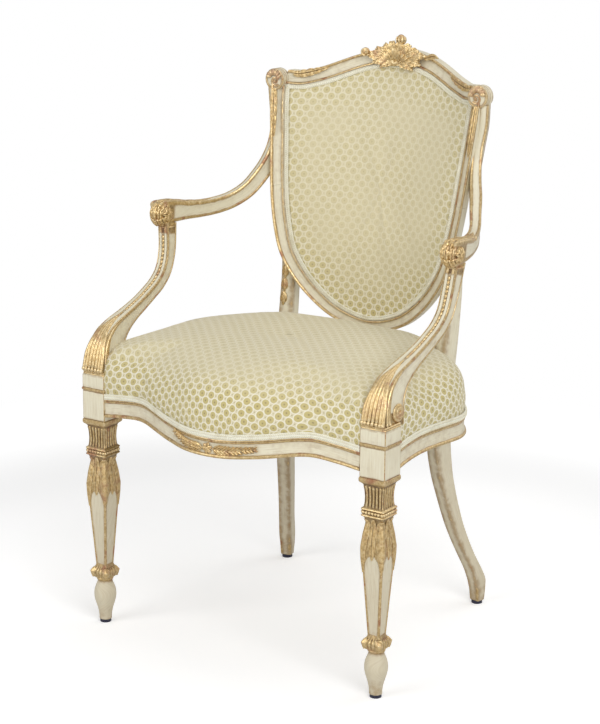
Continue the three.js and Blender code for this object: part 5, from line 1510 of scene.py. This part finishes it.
BRAID_WIDE = 9.5
BRAID_SECTION = (
    (-4.7, -0.8, 0), (-4.75, 0.6, 0), (-4.1, 1.2, 0), (-2.4, 1.5, 0), (0, 1.3, 0), (2.4, 1.5, 0),
    (4.1, 1.2, 0), (4.75, 0.6, 0), (4.7, -0.8, 0),
)


def braid_shell(line, across, out, wide, closed=False):
    """Flat of a braid: a low double crown along a line."""
    section = np.array(BRAID_SECTION) * (wide / BRAID_WIDE, 1, 1)
    shell = swept(line, across, out, section, closed)
    shell.cloth = shell.grain.copy()
    return shell


def braid_loops(name, line, across, out, offset):
    """Slanted loops of cord in two rows along a braid, each leaning the other way."""
    pitch, slant = 3.4, 0.62
    steps = np.linalg.norm(np.diff(line, axis=0), axis=1)
    count = int(steps.sum() / pitch)
    run = np.concatenate([[0], np.cumsum(steps)])
    at = (np.arange(count) + 0.5) / count * run[-1]

    def along(values):
        return np.stack([np.interp(at, run, values[:, k]) for k in range(3)], 1)

    middle, sideways, facing = along(line), unit(along(across)), unit(along(out))
    ahead = unit(along(tangents(line)))
    places = [middle + sideways * offset * row + facing * 1.35 for row in (-1, 1)]
    ways = [ahead * 0.72 - sideways * slant * row for row in (-1, 1)]
    loop = ball((0, 0, 0), (2.5, 1.15, 1.15), 5, 7)
    return repeated(name, np.vstack(places), np.vstack(ways), np.vstack([facing, facing]), loop, "braid")


# Soft pieces

def seat_outline(count):
    """Closed outline of the seat in plan, evenly spaced; height is the top of the show-wood band."""
    front = [(x, front_face(x), front_low(x)) for x in np.linspace(0, FRONT_END_X, 40)]
    side = [tuple(p) for p in side_line(60)]
    cut, rear_half = 7.6, 148.0
    right = front + [
        (FRONT_END_X + cut, FRONT_END_Y, front_low(FRONT_END_X)), (side[0][0], BLOCK_HALF - cut, side[0][2]),
        *side[:-1], (REAR_X, REAR_Y, REAR_LOW), (rear_half, REAR_FACE, REAR_LOW), (0.0, REAR_FACE, REAR_LOW),
    ]
    left = [(-x, y, z) for x, y, z in right[-2:0:-1]]
    loop = np.array(right + left + right[:1], float)
    line = even(loop, count + 1)[:-1]
    for _ in range(2):
        line = (np.roll(line, 1, 0) + 2 * line + np.roll(line, -1, 0)) / 4
    line[:, 2] += BAND
    return line


def inset_outline(line, inset):
    """Outline drawn in by a distance."""
    return line - plan_outward(line, True) * inset


def drawn_in(outline, share, z):
    """Outline shrunk towards the seat's middle by a share, at a height."""
    ring = outline.copy()
    ring[:, 0] *= share
    ring[:, 1] = SEAT_MIDDLE + (ring[:, 1] - SEAT_MIDDLE) * share
    ring[:, 2] = z
    return ring


def stitched(rings, gild, cloth):
    """Closed soft form over rings from its middle out, round its edge and back in below."""
    shell = loft(rings, gild)
    n = len(rings) * len(rings[0])
    values = np.array(cloth, float).reshape(-1, 3)
    shell.cloth[:n] = values
    shell.cloth[n] = values[:len(rings[0])].mean(0)
    shell.cloth[n + 1] = values[-len(rings[0]):].mean(0)
    return shell


def seat_shell():
    """Seat cushion at rest, a little low, with the cloth's own place at each point."""
    count = 240
    outline = seat_outline(count)
    outwards = plan_outward(outline, True)[:, :2]
    full_reach, full_rise, under = 300, 82, 430.4
    rows = spline([
        (1.5, 0, 82), (66, 0, 82), (162, 0, 79.1), (234, 0, 73), (273, 0, 64.8), (289.5, 0, 53.3),
        (297.5, 1, 42), (300, 1.7, 34), (300, -0.5, 21), (300, 1.2, 8), (300, 1.2, 0.5),
    ], np.linspace(0, 1, 36))
    rings, cloth, gild = [], [], []
    run, edge = np.zeros(count), None
    for reach, inset, up in rows:
        share = min(reach / full_reach, 1)
        height = outline[:, 2] + (SEAT_CROWN - outline[:, 2]) * up / full_rise
        ring = drawn_in(inset_outline(outline, inset), share, height)
        if rings:
            run = run + np.linalg.norm(ring - rings[-1], axis=1)
        if share < 0.96:
            place = unit(np.stack([ring[:, 0], ring[:, 1] - SEAT_MIDDLE], 1)) * run[:, None]
            edge = (place, run)
        else:
            place = edge[0] + outwards * (run - edge[1])[:, None]
        rings.append(ring)
        cloth.append(np.column_stack([place, np.zeros(count)]))
        # Paler on the top: wear where it is sat on, and painted sheen and light from above.
        wear_and_sheen = 1.15 - (reach / full_reach) ** 6 - 0.9 * max(0, 1 - up / 60)
        gild.append(np.full(count, np.clip(wear_and_sheen, 0.06, 0.85)))
    for inset, z in ((4.2, outline[:, 2] + 0.5), (4.4, 428.0), (6.5, under)):
        ring = inset_outline(outline, inset)
        ring[:, 2] = z
        rings.append(ring)
    rings += [drawn_in(inset_outline(outline, 6.5), share, under) for share in (0.9, 0.5, 0.02)]
    hidden = len(rings) - len(rows)
    cloth += [cloth[-1]] * hidden
    gild += [gild[-1]] * hidden
    return stitched(rings, np.array(gild), np.array(cloth)), count, len(rows)


def pad_outline(inset, count):
    """Closed outline of the back's upholstery, evenly spaced from the bottom middle."""
    right = np.vstack([LOWER_LINE, CREST_LINE[1:]])
    loop = np.vstack([right, (right * np.array([-1, 1, 1]))[-2::-1]])
    line = even(loop, count + 1)[:-1]
    return line - outward(line, True) * inset


def pad_rings(rows, count):
    """Rings of the back's upholstery: inset, share drawn in, depth behind the face."""
    middle = (SHIELD_LOW + SHOULDER + CREST_RISE) / 2
    rings = []
    for inset, share, depth in rows:
        line = pad_outline(inset, count)
        x = line[:, 0] * share
        z = middle + (line[:, 2] - middle) * share
        rings.append(np.stack([x, back_face(x, z) + depth, z], 1))
    return rings


def back_pad_shell():
    """Back pad at rest: a low dome whose edge turns in behind the braid."""
    count = 220
    shares = (
        (0.02, 1), (0.2, 1), (0.42, 1), (0.6, 0.86), (0.74, 0.64), (0.84, 0.42), (0.91, 0.24), (0.955, 0.1),
    )
    fine = spline([(a * 100, 0, b * 10) for a, b in shares], np.linspace(0, 1, 30))
    rows = [(0.3, a / 100, 1.6 - 9 * b / 10) for a, _, b in fine]
    rows += [
        (8.1, 1, 1.5), (0.5, 1, 1.7), (0.4, 1, 5), (0.4, 1, 8), (9, 1, 8.2), (0.4, 0.6, 8.2), (0.4, 0.02, 8.2),
    ]
    rings = pad_rings(rows, count)
    cloth = [np.stack([r[:, 0], r[:, 2] * CLOTH_HEIGHT_SHARE, np.zeros(count)], 1) for r in rings]
    gild = []
    for (_, share, _), r in zip(rows, rings):
        # Paler high in the middle, less so low down and at the edge: wear, and painted sheen and light.
        low = np.clip((620 - r[:, 2]) / 130, 0, 1)
        edge = np.clip((share - 0.7) / 0.25, 0, 1)
        gild.append(np.clip(0.92 - 0.4 * low - 0.4 * edge, 0.1, 1))
    return stitched(rings, np.array(gild), np.array(cloth)), count, len(fine)


CLOTH_SETTINGS = {
    "quality": 5, "mass": 0.3, "tension_stiffness": 18, "compression_stiffness": 18, "bending_stiffness": 2,
    "use_pressure": True,
}
CLOTH_FRAMES = 20


def blown(shell, name, count, rows, pressure, cap, nodes):
    """Cushion swollen by a cloth simulation with its edge held, then kept as a plain mesh."""
    piece = build(name, [shell], "velvet", nodes, sharp=0)
    scene = bpy.context.scene
    start = np.zeros(len(piece.data.vertices) * 3)
    piece.data.vertices.foreach_get("co", start)
    start = start.reshape(-1, 3)
    held = piece.vertex_groups.new(name="held")
    free = set(range(0, (rows - 3) * count)) | {len(shell.points) - 2}
    held.add([i for i in range(len(start)) if i not in free], 1.0, "REPLACE")
    cloth = piece.modifiers.new("Cloth", "CLOTH")
    for key, value in CLOTH_SETTINGS.items():
        setattr(cloth.settings, key, value)
    cloth.settings.uniform_pressure_force = pressure
    cloth.settings.vertex_group_mass = held.name
    cloth.settings.effector_weights.gravity = 0
    cloth.collision_settings.use_collision = False
    cloth.point_cache.frame_start = 1
    cloth.point_cache.frame_end = CLOTH_FRAMES
    for step in range(CLOTH_FRAMES):
        scene.frame_set(step + 1)
    made = piece.evaluated_get(bpy.context.evaluated_depsgraph_get()).to_mesh()
    end = np.zeros(len(start) * 3)
    made.vertices.foreach_get("co", end)
    move = end.reshape(-1, 3) - start
    length = np.maximum(np.linalg.norm(move, axis=1, keepdims=True), 1e-9)
    end = start + move * np.minimum(1, cap * MM / length)
    piece.modifiers.remove(cloth)
    piece.vertex_groups.remove(held)
    scene.frame_set(1)
    piece.data.vertices.foreach_set("co", end.ravel())
    piece.data.update()
    smoother = piece.modifiers.new("Finer", "SUBSURF")
    smoother.levels = 1
    smoother.render_levels = 1


# Settings

def colour_setting(name, description, default):
    """Setting that holds a colour."""
    return bpy.props.FloatVectorProperty(
        name=name, description=description, default=default, size=3, subtype="COLOR", min=0, max=1,
    )


def share_setting(name, description, default):
    """Setting from none to full."""
    return bpy.props.FloatProperty(
        name=name, description=description, default=default, min=0, max=1, subtype="FACTOR",
    )


def length_setting(name, description, default, least, most):
    """Setting in metres."""
    return bpy.props.FloatProperty(
        name=name, description=description, default=default, min=least, max=most, unit="LENGTH",
    )


class ArmchairLook(bpy.types.PropertyGroup):
    """Colours and patterns of the chair."""
    paint: colour_setting("Paint", "Cream paint", (0.755, 0.7, 0.53))
    # Glaze colour, also used for painted shade in hollows and towards the floor.
    glaze_and_shade: colour_setting("Glaze and shade", "Brown glaze in hollows", (0.33, 0.21, 0.09))
    gold: colour_setting("Gold", "Gold leaf", (0.6, 0.41, 0.17))
    streaks: share_setting("Streaks", "Strength of the brush marks", 0.5)
    wear: share_setting("Wear", "How far the gold is rubbed to the clay", 0.55)
    ground: colour_setting("Velvet ground", "Colour between the discs", (0.71, 0.64, 0.435))
    disc: colour_setting("Disc", "Colour of the discs", (0.56, 0.47, 0.2))
    net: colour_setting("Net", "Colour of the net round the discs", (0.9, 0.87, 0.74))
    eye: colour_setting("Eye", "Colour of the discs' middles", (0.25, 0.2, 0.09))
    pitch: length_setting("Pitch", "Discs' distance along a row", 0.0185, 0.005, 0.1)
    row: length_setting("Row", "Distance between rows of discs", 0.0104, 0.003, 0.1)


class ArmchairSizes(bpy.types.PropertyGroup):
    """Sizes of the ornament and the padding."""
    bead: length_setting("Bead", "Radius of the beads round the front legs", 0.0027, 0.001, 0.006)
    string_bead: length_setting("String bead", "Radius of the beads on the arm supports", 0.0025, 0.001, 0.006)
    seat_swell: length_setting("Seat swell", "Farthest that the seat's cover may rise", 0.008, 0, 0.03)
    back_swell: length_setting("Back swell", "Farthest that the back's cover may rise", 0.004, 0, 0.03)


def look():
    """The scene's colours and patterns."""
    return bpy.context.scene.armchair_look


def sizes():
    """The scene's ornament sizes."""
    return bpy.context.scene.armchair_sizes


MAKERS = {
    "painted_wood": lambda: painted_finish(look()),
    "gilt_wood": lambda: gilt_finish(look()),
    "velvet": lambda: velvet_finish(look()),
    "braid": lambda: thread_finish("woven_braid", (0.93, 0.92, 0.8), (0.62, 0.56, 0.38), 0.8),
    "linen": lambda: thread_finish("tow_linen", (0.5, 0.42, 0.28), (0.26, 0.2, 0.12), 1.4, None, 0.95),
    "beech": lambda: plain_finish("raw_beech", (0.46, 0.28, 0.13), (0.3, 0.16, 0.07), 30, 0.6, 0, (6, 6, 1)),
    "steel": lambda: plain_finish("dull_steel", (0.3, 0.3, 0.29), (0.2, 0.19, 0.18), 700, 0.35, 1),
    "dark_glide": lambda: plain_finish("dark_nylon", (0.012, 0.013, 0.035), (0.02, 0.02, 0.045), 500, 0.4),
}
MADE = {}


def finish(kind):
    """A finish by its kind, made once with the shared groups."""
    for group, make in GROUPS:
        if group not in bpy.data.node_groups:
            make()
    if kind not in MADE:
        MADE[kind] = MAKERS[kind]()
    return MADE[kind]


class Piece:
    """Shared by the operators: each makes one piece or one group of like pieces."""
    bl_options = {"REGISTER", "UNDO"}

    def execute(self, context):
        self.make()
        return {"FINISHED"}


class ARMCHAIR_OT_front_legs(Piece, bpy.types.Operator):
    """Make the two front legs"""
    bl_idname = "armchair.front_legs"
    bl_label = "Front legs"

    def make(self):
        wood, carving = front_leg_shells(), front_leg_carving()
        places, ups = bead_ring_places()
        bead = ball((0, 0, 0), (1, 1, 0.85), 7, 9)
        bead.points *= sizes().bead / MM
        for side, name in SIDES:
            flip = np.array([side, 1, 1])
            build("front_leg_" + name, on_side(wood, side), "painted_wood", [name + "_front_leg"])
            build("front_leg_carving_" + name, on_side(carving, side), "gilt_wood")
            repeated("front_leg_beads_" + name, places * flip, (0, 0, 1), ups * flip, bead, "gilt_wood")


class ARMCHAIR_OT_rear_legs(Piece, bpy.types.Operator):
    """Make the two rear legs with their posts"""
    bl_idname = "armchair.rear_legs"
    bl_label = "Rear legs"

    def make(self):
        leg = rear_leg_shell()
        for side, name in SIDES:
            build("rear_leg_" + name, on_side([leg], side), "painted_wood", [name + "_rear_leg"])


class ARMCHAIR_OT_seat_rails(Piece, bpy.types.Operator):
    """Make the four seat rails"""
    bl_idname = "armchair.seat_rails"
    bl_label = "Seat rails"

    def make(self):
        front_half, rear_half = FRONT_END_X - 0.3, 147.7
        xs = np.linspace(-front_half, front_half, 130)
        front = rail(np.array([(x, front_face(x), front_low(x)) for x in xs]))
        build("front_rail", [front], "painted_wood", ["front_seat_rail"])
        long_side = rail(side_line(90))
        for side, name in SIDES:
            build("side_rail_" + name, on_side([long_side], side), "painted_wood", [name + "_seat_rail"])
        rear = rail(np.array([(x, REAR_FACE, REAR_LOW) for x in np.linspace(rear_half, -rear_half, 20)]))
        build("rear_rail", [rear], "painted_wood", ["rear_seat_rail"])


class ARMCHAIR_OT_shield_frame(Piece, bpy.types.Operator):
    """Make the shield's bottom rail, stiles, ears and crest rail"""
    bl_idname = "armchair.shield_frame"
    bl_label = "Shield frame"

    def make(self):
        gap = 0.0006
        half = even(LOWER_LINE, 90, 0, STILE_SHARE)
        bottom = self.member(np.vstack([mirror_line(half)[:-1], half]), FRAME_BAND)
        build("bottom_shield_rail_wood", [bottom], "painted_wood", ["bottom_shield_rail"])
        half = even(CREST_LINE, 90)
        crest = self.member(np.vstack([half[:-1], mirror_line(half)]), CREST_BAND)
        build("crest_rail_wood", [crest], "painted_wood", ["crest_rail"])
        stile = self.member(even(LOWER_LINE, 60, STILE_SHARE + gap, 1), FRAME_BAND)
        shells, carving = [stile, self.ear()], ear_carving()
        for side, name in SIDES:
            build("back_stile_wood_" + name, on_side(shells, side), "painted_wood", [name + "_back_stile"])
            build("ear_carving_" + name, on_side(carving, side), "gilt_wood")

    def member(self, line, band):
        """Moulded member of the shield along a line."""
        section = frame_section(band)
        rings = frame_rings(line, section)
        return loft(rings, np.broadcast_to(section[:, 2], rings.shape[:2]))

    def ear(self):
        """Round ear at the shoulder, its front edge eased and its side grooved."""
        count = 40
        face = back_face(*EAR) - 2
        cos, sin = circle(count)
        rings = [
            np.stack([EAR[0] + r * cos, np.full(count, face + d), EAR[1] + r * sin], 1) for r, d, _ in EAR_ROWS
        ]
        gild = np.array([g for *_, g in EAR_ROWS])[:, None]
        return loft(rings, np.broadcast_to(gild, (len(rings), count)))


class ARMCHAIR_OT_arms(Piece, bpy.types.Operator):
    """Make the two arms"""
    bl_idname = "armchair.arms"
    bl_label = "Arms"

    def make(self):
        arm, carving = arm_shell(), hand_rest_carving()
        for side, name in SIDES:
            build("arm_wood_" + name, on_side([arm], side), "painted_wood", [name + "_arm"])
            build("arm_carving_" + name, on_side(carving, side), "gilt_wood")


class ARMCHAIR_OT_arm_supports(Piece, bpy.types.Operator):
    """Make the two arm supports and their strings of beads"""
    bl_idname = "armchair.arm_supports"
    bl_label = "Arm supports"

    def make(self):
        support, carving = support_shell(), support_carving()
        line, scale, front = support_lines()
        channel = line + front * (scale[:, 1:2] / 2 - 0.8)
        count, first, last = 24, 6, at_height(line, 519)
        string = even(channel[first:last], count)
        at = np.linspace(first, last - 1, count)
        facing = unit(np.stack([np.interp(at, range(len(front)), front[:, k]) for k in range(3)], 1))
        bead = ball((0, 0, 0), (1.6, 1, 0.9), 9, 11)
        bead.points *= sizes().string_bead / MM
        for side, name in SIDES:
            flip = np.array([side, 1, 1])
            wood = on_side([support], side)
            build("arm_support_wood_" + name, wood, "painted_wood", [name + "_arm_support"])
            build("arm_support_carving_" + name, on_side(carving, side), "gilt_wood")
            ahead = tangents(string) * flip
            repeated("support_beads_" + name, string * flip, ahead, facing * flip, bead, "gilt_wood")


class ARMCHAIR_OT_cresting(Piece, bpy.types.Operator):
    """Make the carving on the crest rail, the front rail and the posts"""
    bl_idname = "armchair.cresting"
    bl_label = "Cresting, spray and husks"

    def make(self):
        build("spray_carving", spray_carving(), "gilt_wood")
        husks = post_carving()
        for side, name in SIDES:
            build("post_carving_" + name, on_side(husks, side), "gilt_wood")
        build("cresting_carving", cresting_carving(), "gilt_wood", ["crest_carving"])


class ARMCHAIR_OT_seat_cushion(Piece, bpy.types.Operator):
    """Make the stuffed seat in its velvet cover"""
    bl_idname = "armchair.seat_cushion"
    bl_label = "Seat cushion"

    def make(self):
        shell, count, rows = seat_shell()
        shell.points[:, 2] -= np.clip((shell.points[:, 2] - 440) / 60, 0, 1) * 3
        swell = sizes().seat_swell / MM
        blown(shell, "seat_cushion", count, rows, 1.2, swell, ["seat_cover", "seat_stuffing"])


class ARMCHAIR_OT_back_pad(Piece, bpy.types.Operator):
    """Make the back pad in its velvet cover"""
    bl_idname = "armchair.back_pad"
    bl_label = "Back pad"

    def make(self):
        shell, count, rows = back_pad_shell()
        swell = sizes().back_swell / MM
        blown(shell, "back_pad", count, rows, 0.6, swell, ["back_cover", "back_stuffing", "back_canvas"])


class ARMCHAIR_OT_braids(Piece, bpy.types.Operator):
    """Make the braids round the seat and the back, with their loops"""
    bl_idname = "armchair.braids"
    bl_label = "Braids"

    def make(self):
        for part, side, name in (
            ("front", 1, "front"), ("side", 1, "right"), ("side", -1, "left"), ("rear", 1, "rear"),
        ):
            flip = np.array([side, 1, 1])
            line, out = seat_edge(part)
            line, out = (line + out * 0.3) * flip, out * flip
            across = np.broadcast_to(np.array([0, 0, 1.0]), line.shape)
            band = braid_shell(line, across, out, BRAID_WIDE)
            build("seat_braid_band_" + name, [band], "braid", ["seat_braid_" + name])
            braid_loops("seat_braid_loops_" + name, line, across, out, 2.4)
        for name, inset, depth, facing in (("back", 4.1, 0.7, -1), ("outside_back", -1.4, 24.2, 1)):
            line = pad_outline(inset, 420)
            line[:, 1] = back_face(line[:, 0], line[:, 2]) + depth
            across = outward(line, True)
            out = np.broadcast_to(unit(np.array([0, facing, -facing * BACK_LEAN])), line.shape)
            across = unit(across - out * np.sum(across * out, 1, keepdims=True))
            band = braid_shell(line, across, out, 7.4, True)
            build(name + "_braid_band", [band], "braid", [name + "_braid"])
            line, across, out = (np.vstack([part, part[:1]]) for part in (line, across, out))
            braid_loops(name + "_braid_loops", line, across, out, 1.85)


class ARMCHAIR_OT_linings(Piece, bpy.types.Operator):
    """Make the outside back cover, the seat's canvas and its webbing"""
    bl_idname = "armchair.linings"
    bl_label = "Outside back cover, canvas and webbing"

    def make(self):
        self.outside_cover()
        self.canvas()
        self.webbing()

    def keep(self, name, shell, kind, nodes, flat, rests_on):
        """Builds one stretched cloth; the flat size it is given is not used."""
        piece = build(name, [shell], kind, nodes, sharp=0)

    def outside_cover(self):
        outset, count = -5.2, 200
        rows = [(outset, s, 23.3) for s in (0.02, 0.25, 0.5, 0.75, 0.9, 1)]
        rows += [(outset, s, 21.9) for s in (1, 0.9, 0.5, 0.02)]
        rings = pad_rings(rows, count)
        cloth = [np.stack([-r[:, 0], r[:, 2] * CLOTH_HEIGHT_SHARE, np.zeros(count)], 1) for r in rings]
        shell = stitched(rings, 0.35, cloth)
        ends = ["crest_rail_wood", "bottom_shield_rail_wood"]
        self.keep("outside_back_panel", shell, "velvet", ["outside_back_cover"], (0.384, 0.456), ends)

    def canvas(self):
        outline = inset_outline(seat_outline(200), 8.6)
        shares = (0.02, 0.35, 0.7, 1)
        rings = [drawn_in(outline, share, CANVAS_TOP) for share in shares]
        rings += [drawn_in(outline, share, CANVAS_UNDER) for share in shares[::-1]]
        shell = stitched(rings, 0, rings)
        ends = ["front_rail", "rear_rail"]
        self.keep("seat_canvas_cloth", shell, "linen", ["seat_canvas"], (0.558, 0.446), ends)

    def webbing(self):
        half, edge = STRAP_HALF, STRAP_EDGE
        corners = ((-half, -edge), (0, -edge), (half, -edge), (half, edge), (0, edge), (-half, edge))
        section = [(x, y, 0) for x, y in corners]
        width = 2 * half * MM
        rail_face = side_line(120)
        count, hold = 60, 12
        sides = ["side_rail_left", "side_rail_right"]
        for number, y in enumerate(CROSS_STRAPS, 1):
            ys = np.array([y + x for x, *_ in section])
            reach = np.interp(ys, rail_face[:, 1], rail_face[:, 0]) - hold
            rings = np.stack([
                np.linspace(-1, 1, count)[:, None] * reach, np.broadcast_to(ys, (count, len(ys))),
                np.broadcast_to([STRAP_LEVEL + h for _, h, _ in section], (count, len(ys))),
            ], 2)
            self.strap("cross", number, loft(rings), (width, reach.max() * 2 * MM), sides)
        count, hold, middle_start, slack = 120, 21, -71.5, 0.0005
        for number, x in enumerate(LONG_STRAPS, 1):
            low_y = front_face(x) + hold if x else middle_start
            ys = np.linspace(low_y, LONG_STRAP_END, count)
            over = sum(np.exp(-((ys - y) / 30) ** 4) for y in CROSS_STRAPS)
            line = np.stack([np.full(count, x), ys, STRAP_LEVEL + STRAP_LIFT * np.clip(over, 0, 1)], 1)
            across = np.broadcast_to(np.array([1.0, 0, 0]), line.shape)
            shell = swept(line, across, unit(np.cross(across, tangents(line))), section)
            flat = (width, (LONG_STRAP_END - low_y) * MM + slack)
            self.strap("long", number, shell, flat, ["front_rail", "rear_rail"])

    def strap(self, run, number, shell, flat, rests_on):
        """One length of webbing, its cloth laid out as it lies."""
        shell.cloth = shell.points.copy()
        self.keep(f"{run}_strap_{number}", shell, "linen", [f"{run}_webbing_{number}"], flat, rests_on)


class ARMCHAIR_OT_other_nodes(Piece, bpy.types.Operator):
    """Finish the pieces that keep their solid shape"""
    bl_idname = "armchair.other_nodes"
    bl_label = "Corner blocks, screws and glides"

    def make(self):
        for key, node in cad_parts.items():
            for word, kind in (("screw", "steel"), ("glide", "dark_glide"), ("corner_block", "beech")):
                if word in key and not node.hide_render:
                    node.data.materials.clear()
                    node.data.materials.append(finish(kind))


class ARMCHAIR_OT_stage(Piece, bpy.types.Operator):
    """Set the floor, the lamps, the world and the camera"""
    bl_idname = "armchair.stage"
    bl_label = "Stage"

    def make(self):
        bpy.context.scene.view_settings.view_transform = "Standard"
        self.ground()
        self.room()
        self.lamps()
        self.viewer()

    def ground(self):
        """Floor that takes a soft shadow and turns to plain white away from the chair."""
        half, fade_start, fade_end = 9, 0.7, 1.5
        mesh = bpy.data.meshes.new("floor")
        corners = [(-half, -half, 0), (half, -half, 0), (half, half, 0), (-half, half, 0)]
        mesh.from_pydata(corners, [], [(0, 1, 2, 3)])
        floor = linked("floor", mesh)
        material, tree, shader = surface("pale_floor")
        seen = add(tree, "ShaderNodeLightPath").outputs["Is Camera Ray"]
        away = add(tree, "ShaderNodeVectorMath", {0: object_place(tree)}, operation="LENGTH").outputs["Value"]
        far = step_between(tree, away, fade_start, fade_end)
        glow = times(tree, seen, step_between(tree, far, 0, 1, 0.34, 1.0))
        shade = times(tree, seen, far)
        connect(tree, shader, {
            "Base Color": blend_colours(tree, shade, (0.86, 0.86, 0.86, 1), (0, 0, 0, 1)),
            "Roughness": 0.9, "Specular IOR Level": 0.0,
            "Emission Color": (1, 1, 1, 1), "Emission Strength": glow,
        })
        mesh.materials.append(material)

    def room(self):
        """White world, dimmer as a light than as it is seen."""
        world = bpy.data.worlds.new("soft_room")
        bpy.context.scene.world = world
        world.use_nodes = True
        tree = world.node_tree
        ray = add(tree, "ShaderNodeLightPath").outputs
        seen = calc(tree, "MAXIMUM", ray["Is Camera Ray"], times(tree, ray["Is Glossy Ray"], 0.6))
        seen = calc(tree, "MAXIMUM", seen, ray["Is Transmission Ray"])
        strength = calc(tree, "MAXIMUM", seen, 0.36)
        connect(tree, tree.nodes["Background"], {"Color": (1, 1, 1, 1), "Strength": strength})

    def lamps(self):
        """Four square lamps: place, aim, size and power."""
        for name, place, aim, size, power in (
            ("key_lamp", (2.7, -1.9, 2.3), (0, 0, 0.5), 2.2, 66),
            ("fill_lamp", (-1.4, -3.2, 1.9), (0, 0, 0.5), 2.2, 44),
            ("top_lamp", (0.2, 0.6, 3.2), (0, 0, 0.5), 2.4, 18),
            ("rear_lamp", (1.4, 2.8, 1.8), (0, 0, 0.6), 2.0, 14),
        ):
            lamp = bpy.data.lights.new(name, "AREA")
            lamp.shape = "SQUARE"
            lamp.size = size
            lamp.energy = power
            holder = linked(name, lamp)
            holder.location = place
            holder.rotation_euler = (Vector(aim) - Vector(place)).to_track_quat("-Z", "Y").to_euler()

    def viewer(self):
        """Camera at the photograph's angle."""
        camera = bpy.data.cameras.new("camera")
        camera.lens = 100.69
        camera.sensor_width = 36
        camera.sensor_fit = "AUTO"
        camera.clip_end = 30
        holder = linked("camera", camera)
        holder.matrix_world = self.view()
        bpy.context.scene.camera = holder

    def view(self):
        """Where the photograph was taken from, and its turn."""
        place = (1.80218, -2.47563 + AXIS_Y * MM, 1.28865)
        azimuth, elevation, roll = (math.radians(x) for x in (34.149, 14.54, 0.513))
        level = math.cos(elevation)
        back = Vector((math.sin(azimuth) * level, -math.cos(azimuth) * level, math.sin(elevation)))
        right = (-back).cross(Vector((0, 0, 1))).normalized()
        up = right.cross(-back)
        tilted = math.cos(roll) * right + math.sin(roll) * up
        upright = -math.sin(roll) * right + math.cos(roll) * up
        matrix = Matrix((tilted, upright, back)).transposed().to_4x4()
        matrix.translation = place
        return matrix


PIECES = (
    ARMCHAIR_OT_front_legs, ARMCHAIR_OT_rear_legs, ARMCHAIR_OT_seat_rails, ARMCHAIR_OT_shield_frame,
    ARMCHAIR_OT_arms, ARMCHAIR_OT_arm_supports, ARMCHAIR_OT_cresting, ARMCHAIR_OT_seat_cushion,
    ARMCHAIR_OT_back_pad, ARMCHAIR_OT_braids, ARMCHAIR_OT_linings, ARMCHAIR_OT_other_nodes, ARMCHAIR_OT_stage,
)


class ARMCHAIR_PT_panel(bpy.types.Panel):
    """Lists the chair's settings and pieces"""
    bl_idname = "ARMCHAIR_PT_panel"
    bl_label = "Shield back armchair"
    bl_space_type = "VIEW_3D"
    bl_region_type = "UI"
    bl_category = "Armchair"

    def draw(self, context):
        for group in (context.scene.armchair_look, context.scene.armchair_sizes):
            box = self.layout.box()
            for key in type(group).__annotations__:
                box.prop(group, key)
        for piece in PIECES:
            self.layout.operator(piece.bl_idname)


CLASSES = (ArmchairLook, ArmchairSizes, *PIECES, ARMCHAIR_PT_panel)


def register():
    for item in CLASSES:
        bpy.utils.register_class(item)
    bpy.types.Scene.armchair_look = bpy.props.PointerProperty(type=ArmchairLook)
    bpy.types.Scene.armchair_sizes = bpy.props.PointerProperty(type=ArmchairSizes)


def unregister():
    del bpy.types.Scene.armchair_look
    del bpy.types.Scene.armchair_sizes
    for item in reversed(CLASSES):
        bpy.utils.unregister_class(item)


def main():
    """Makes every piece in order."""
    register()
    for piece in PIECES:
        group, name = piece.bl_idname.split(".")
        getattr(getattr(bpy.ops, group), name)()


if __name__ == "__main__":
    main()
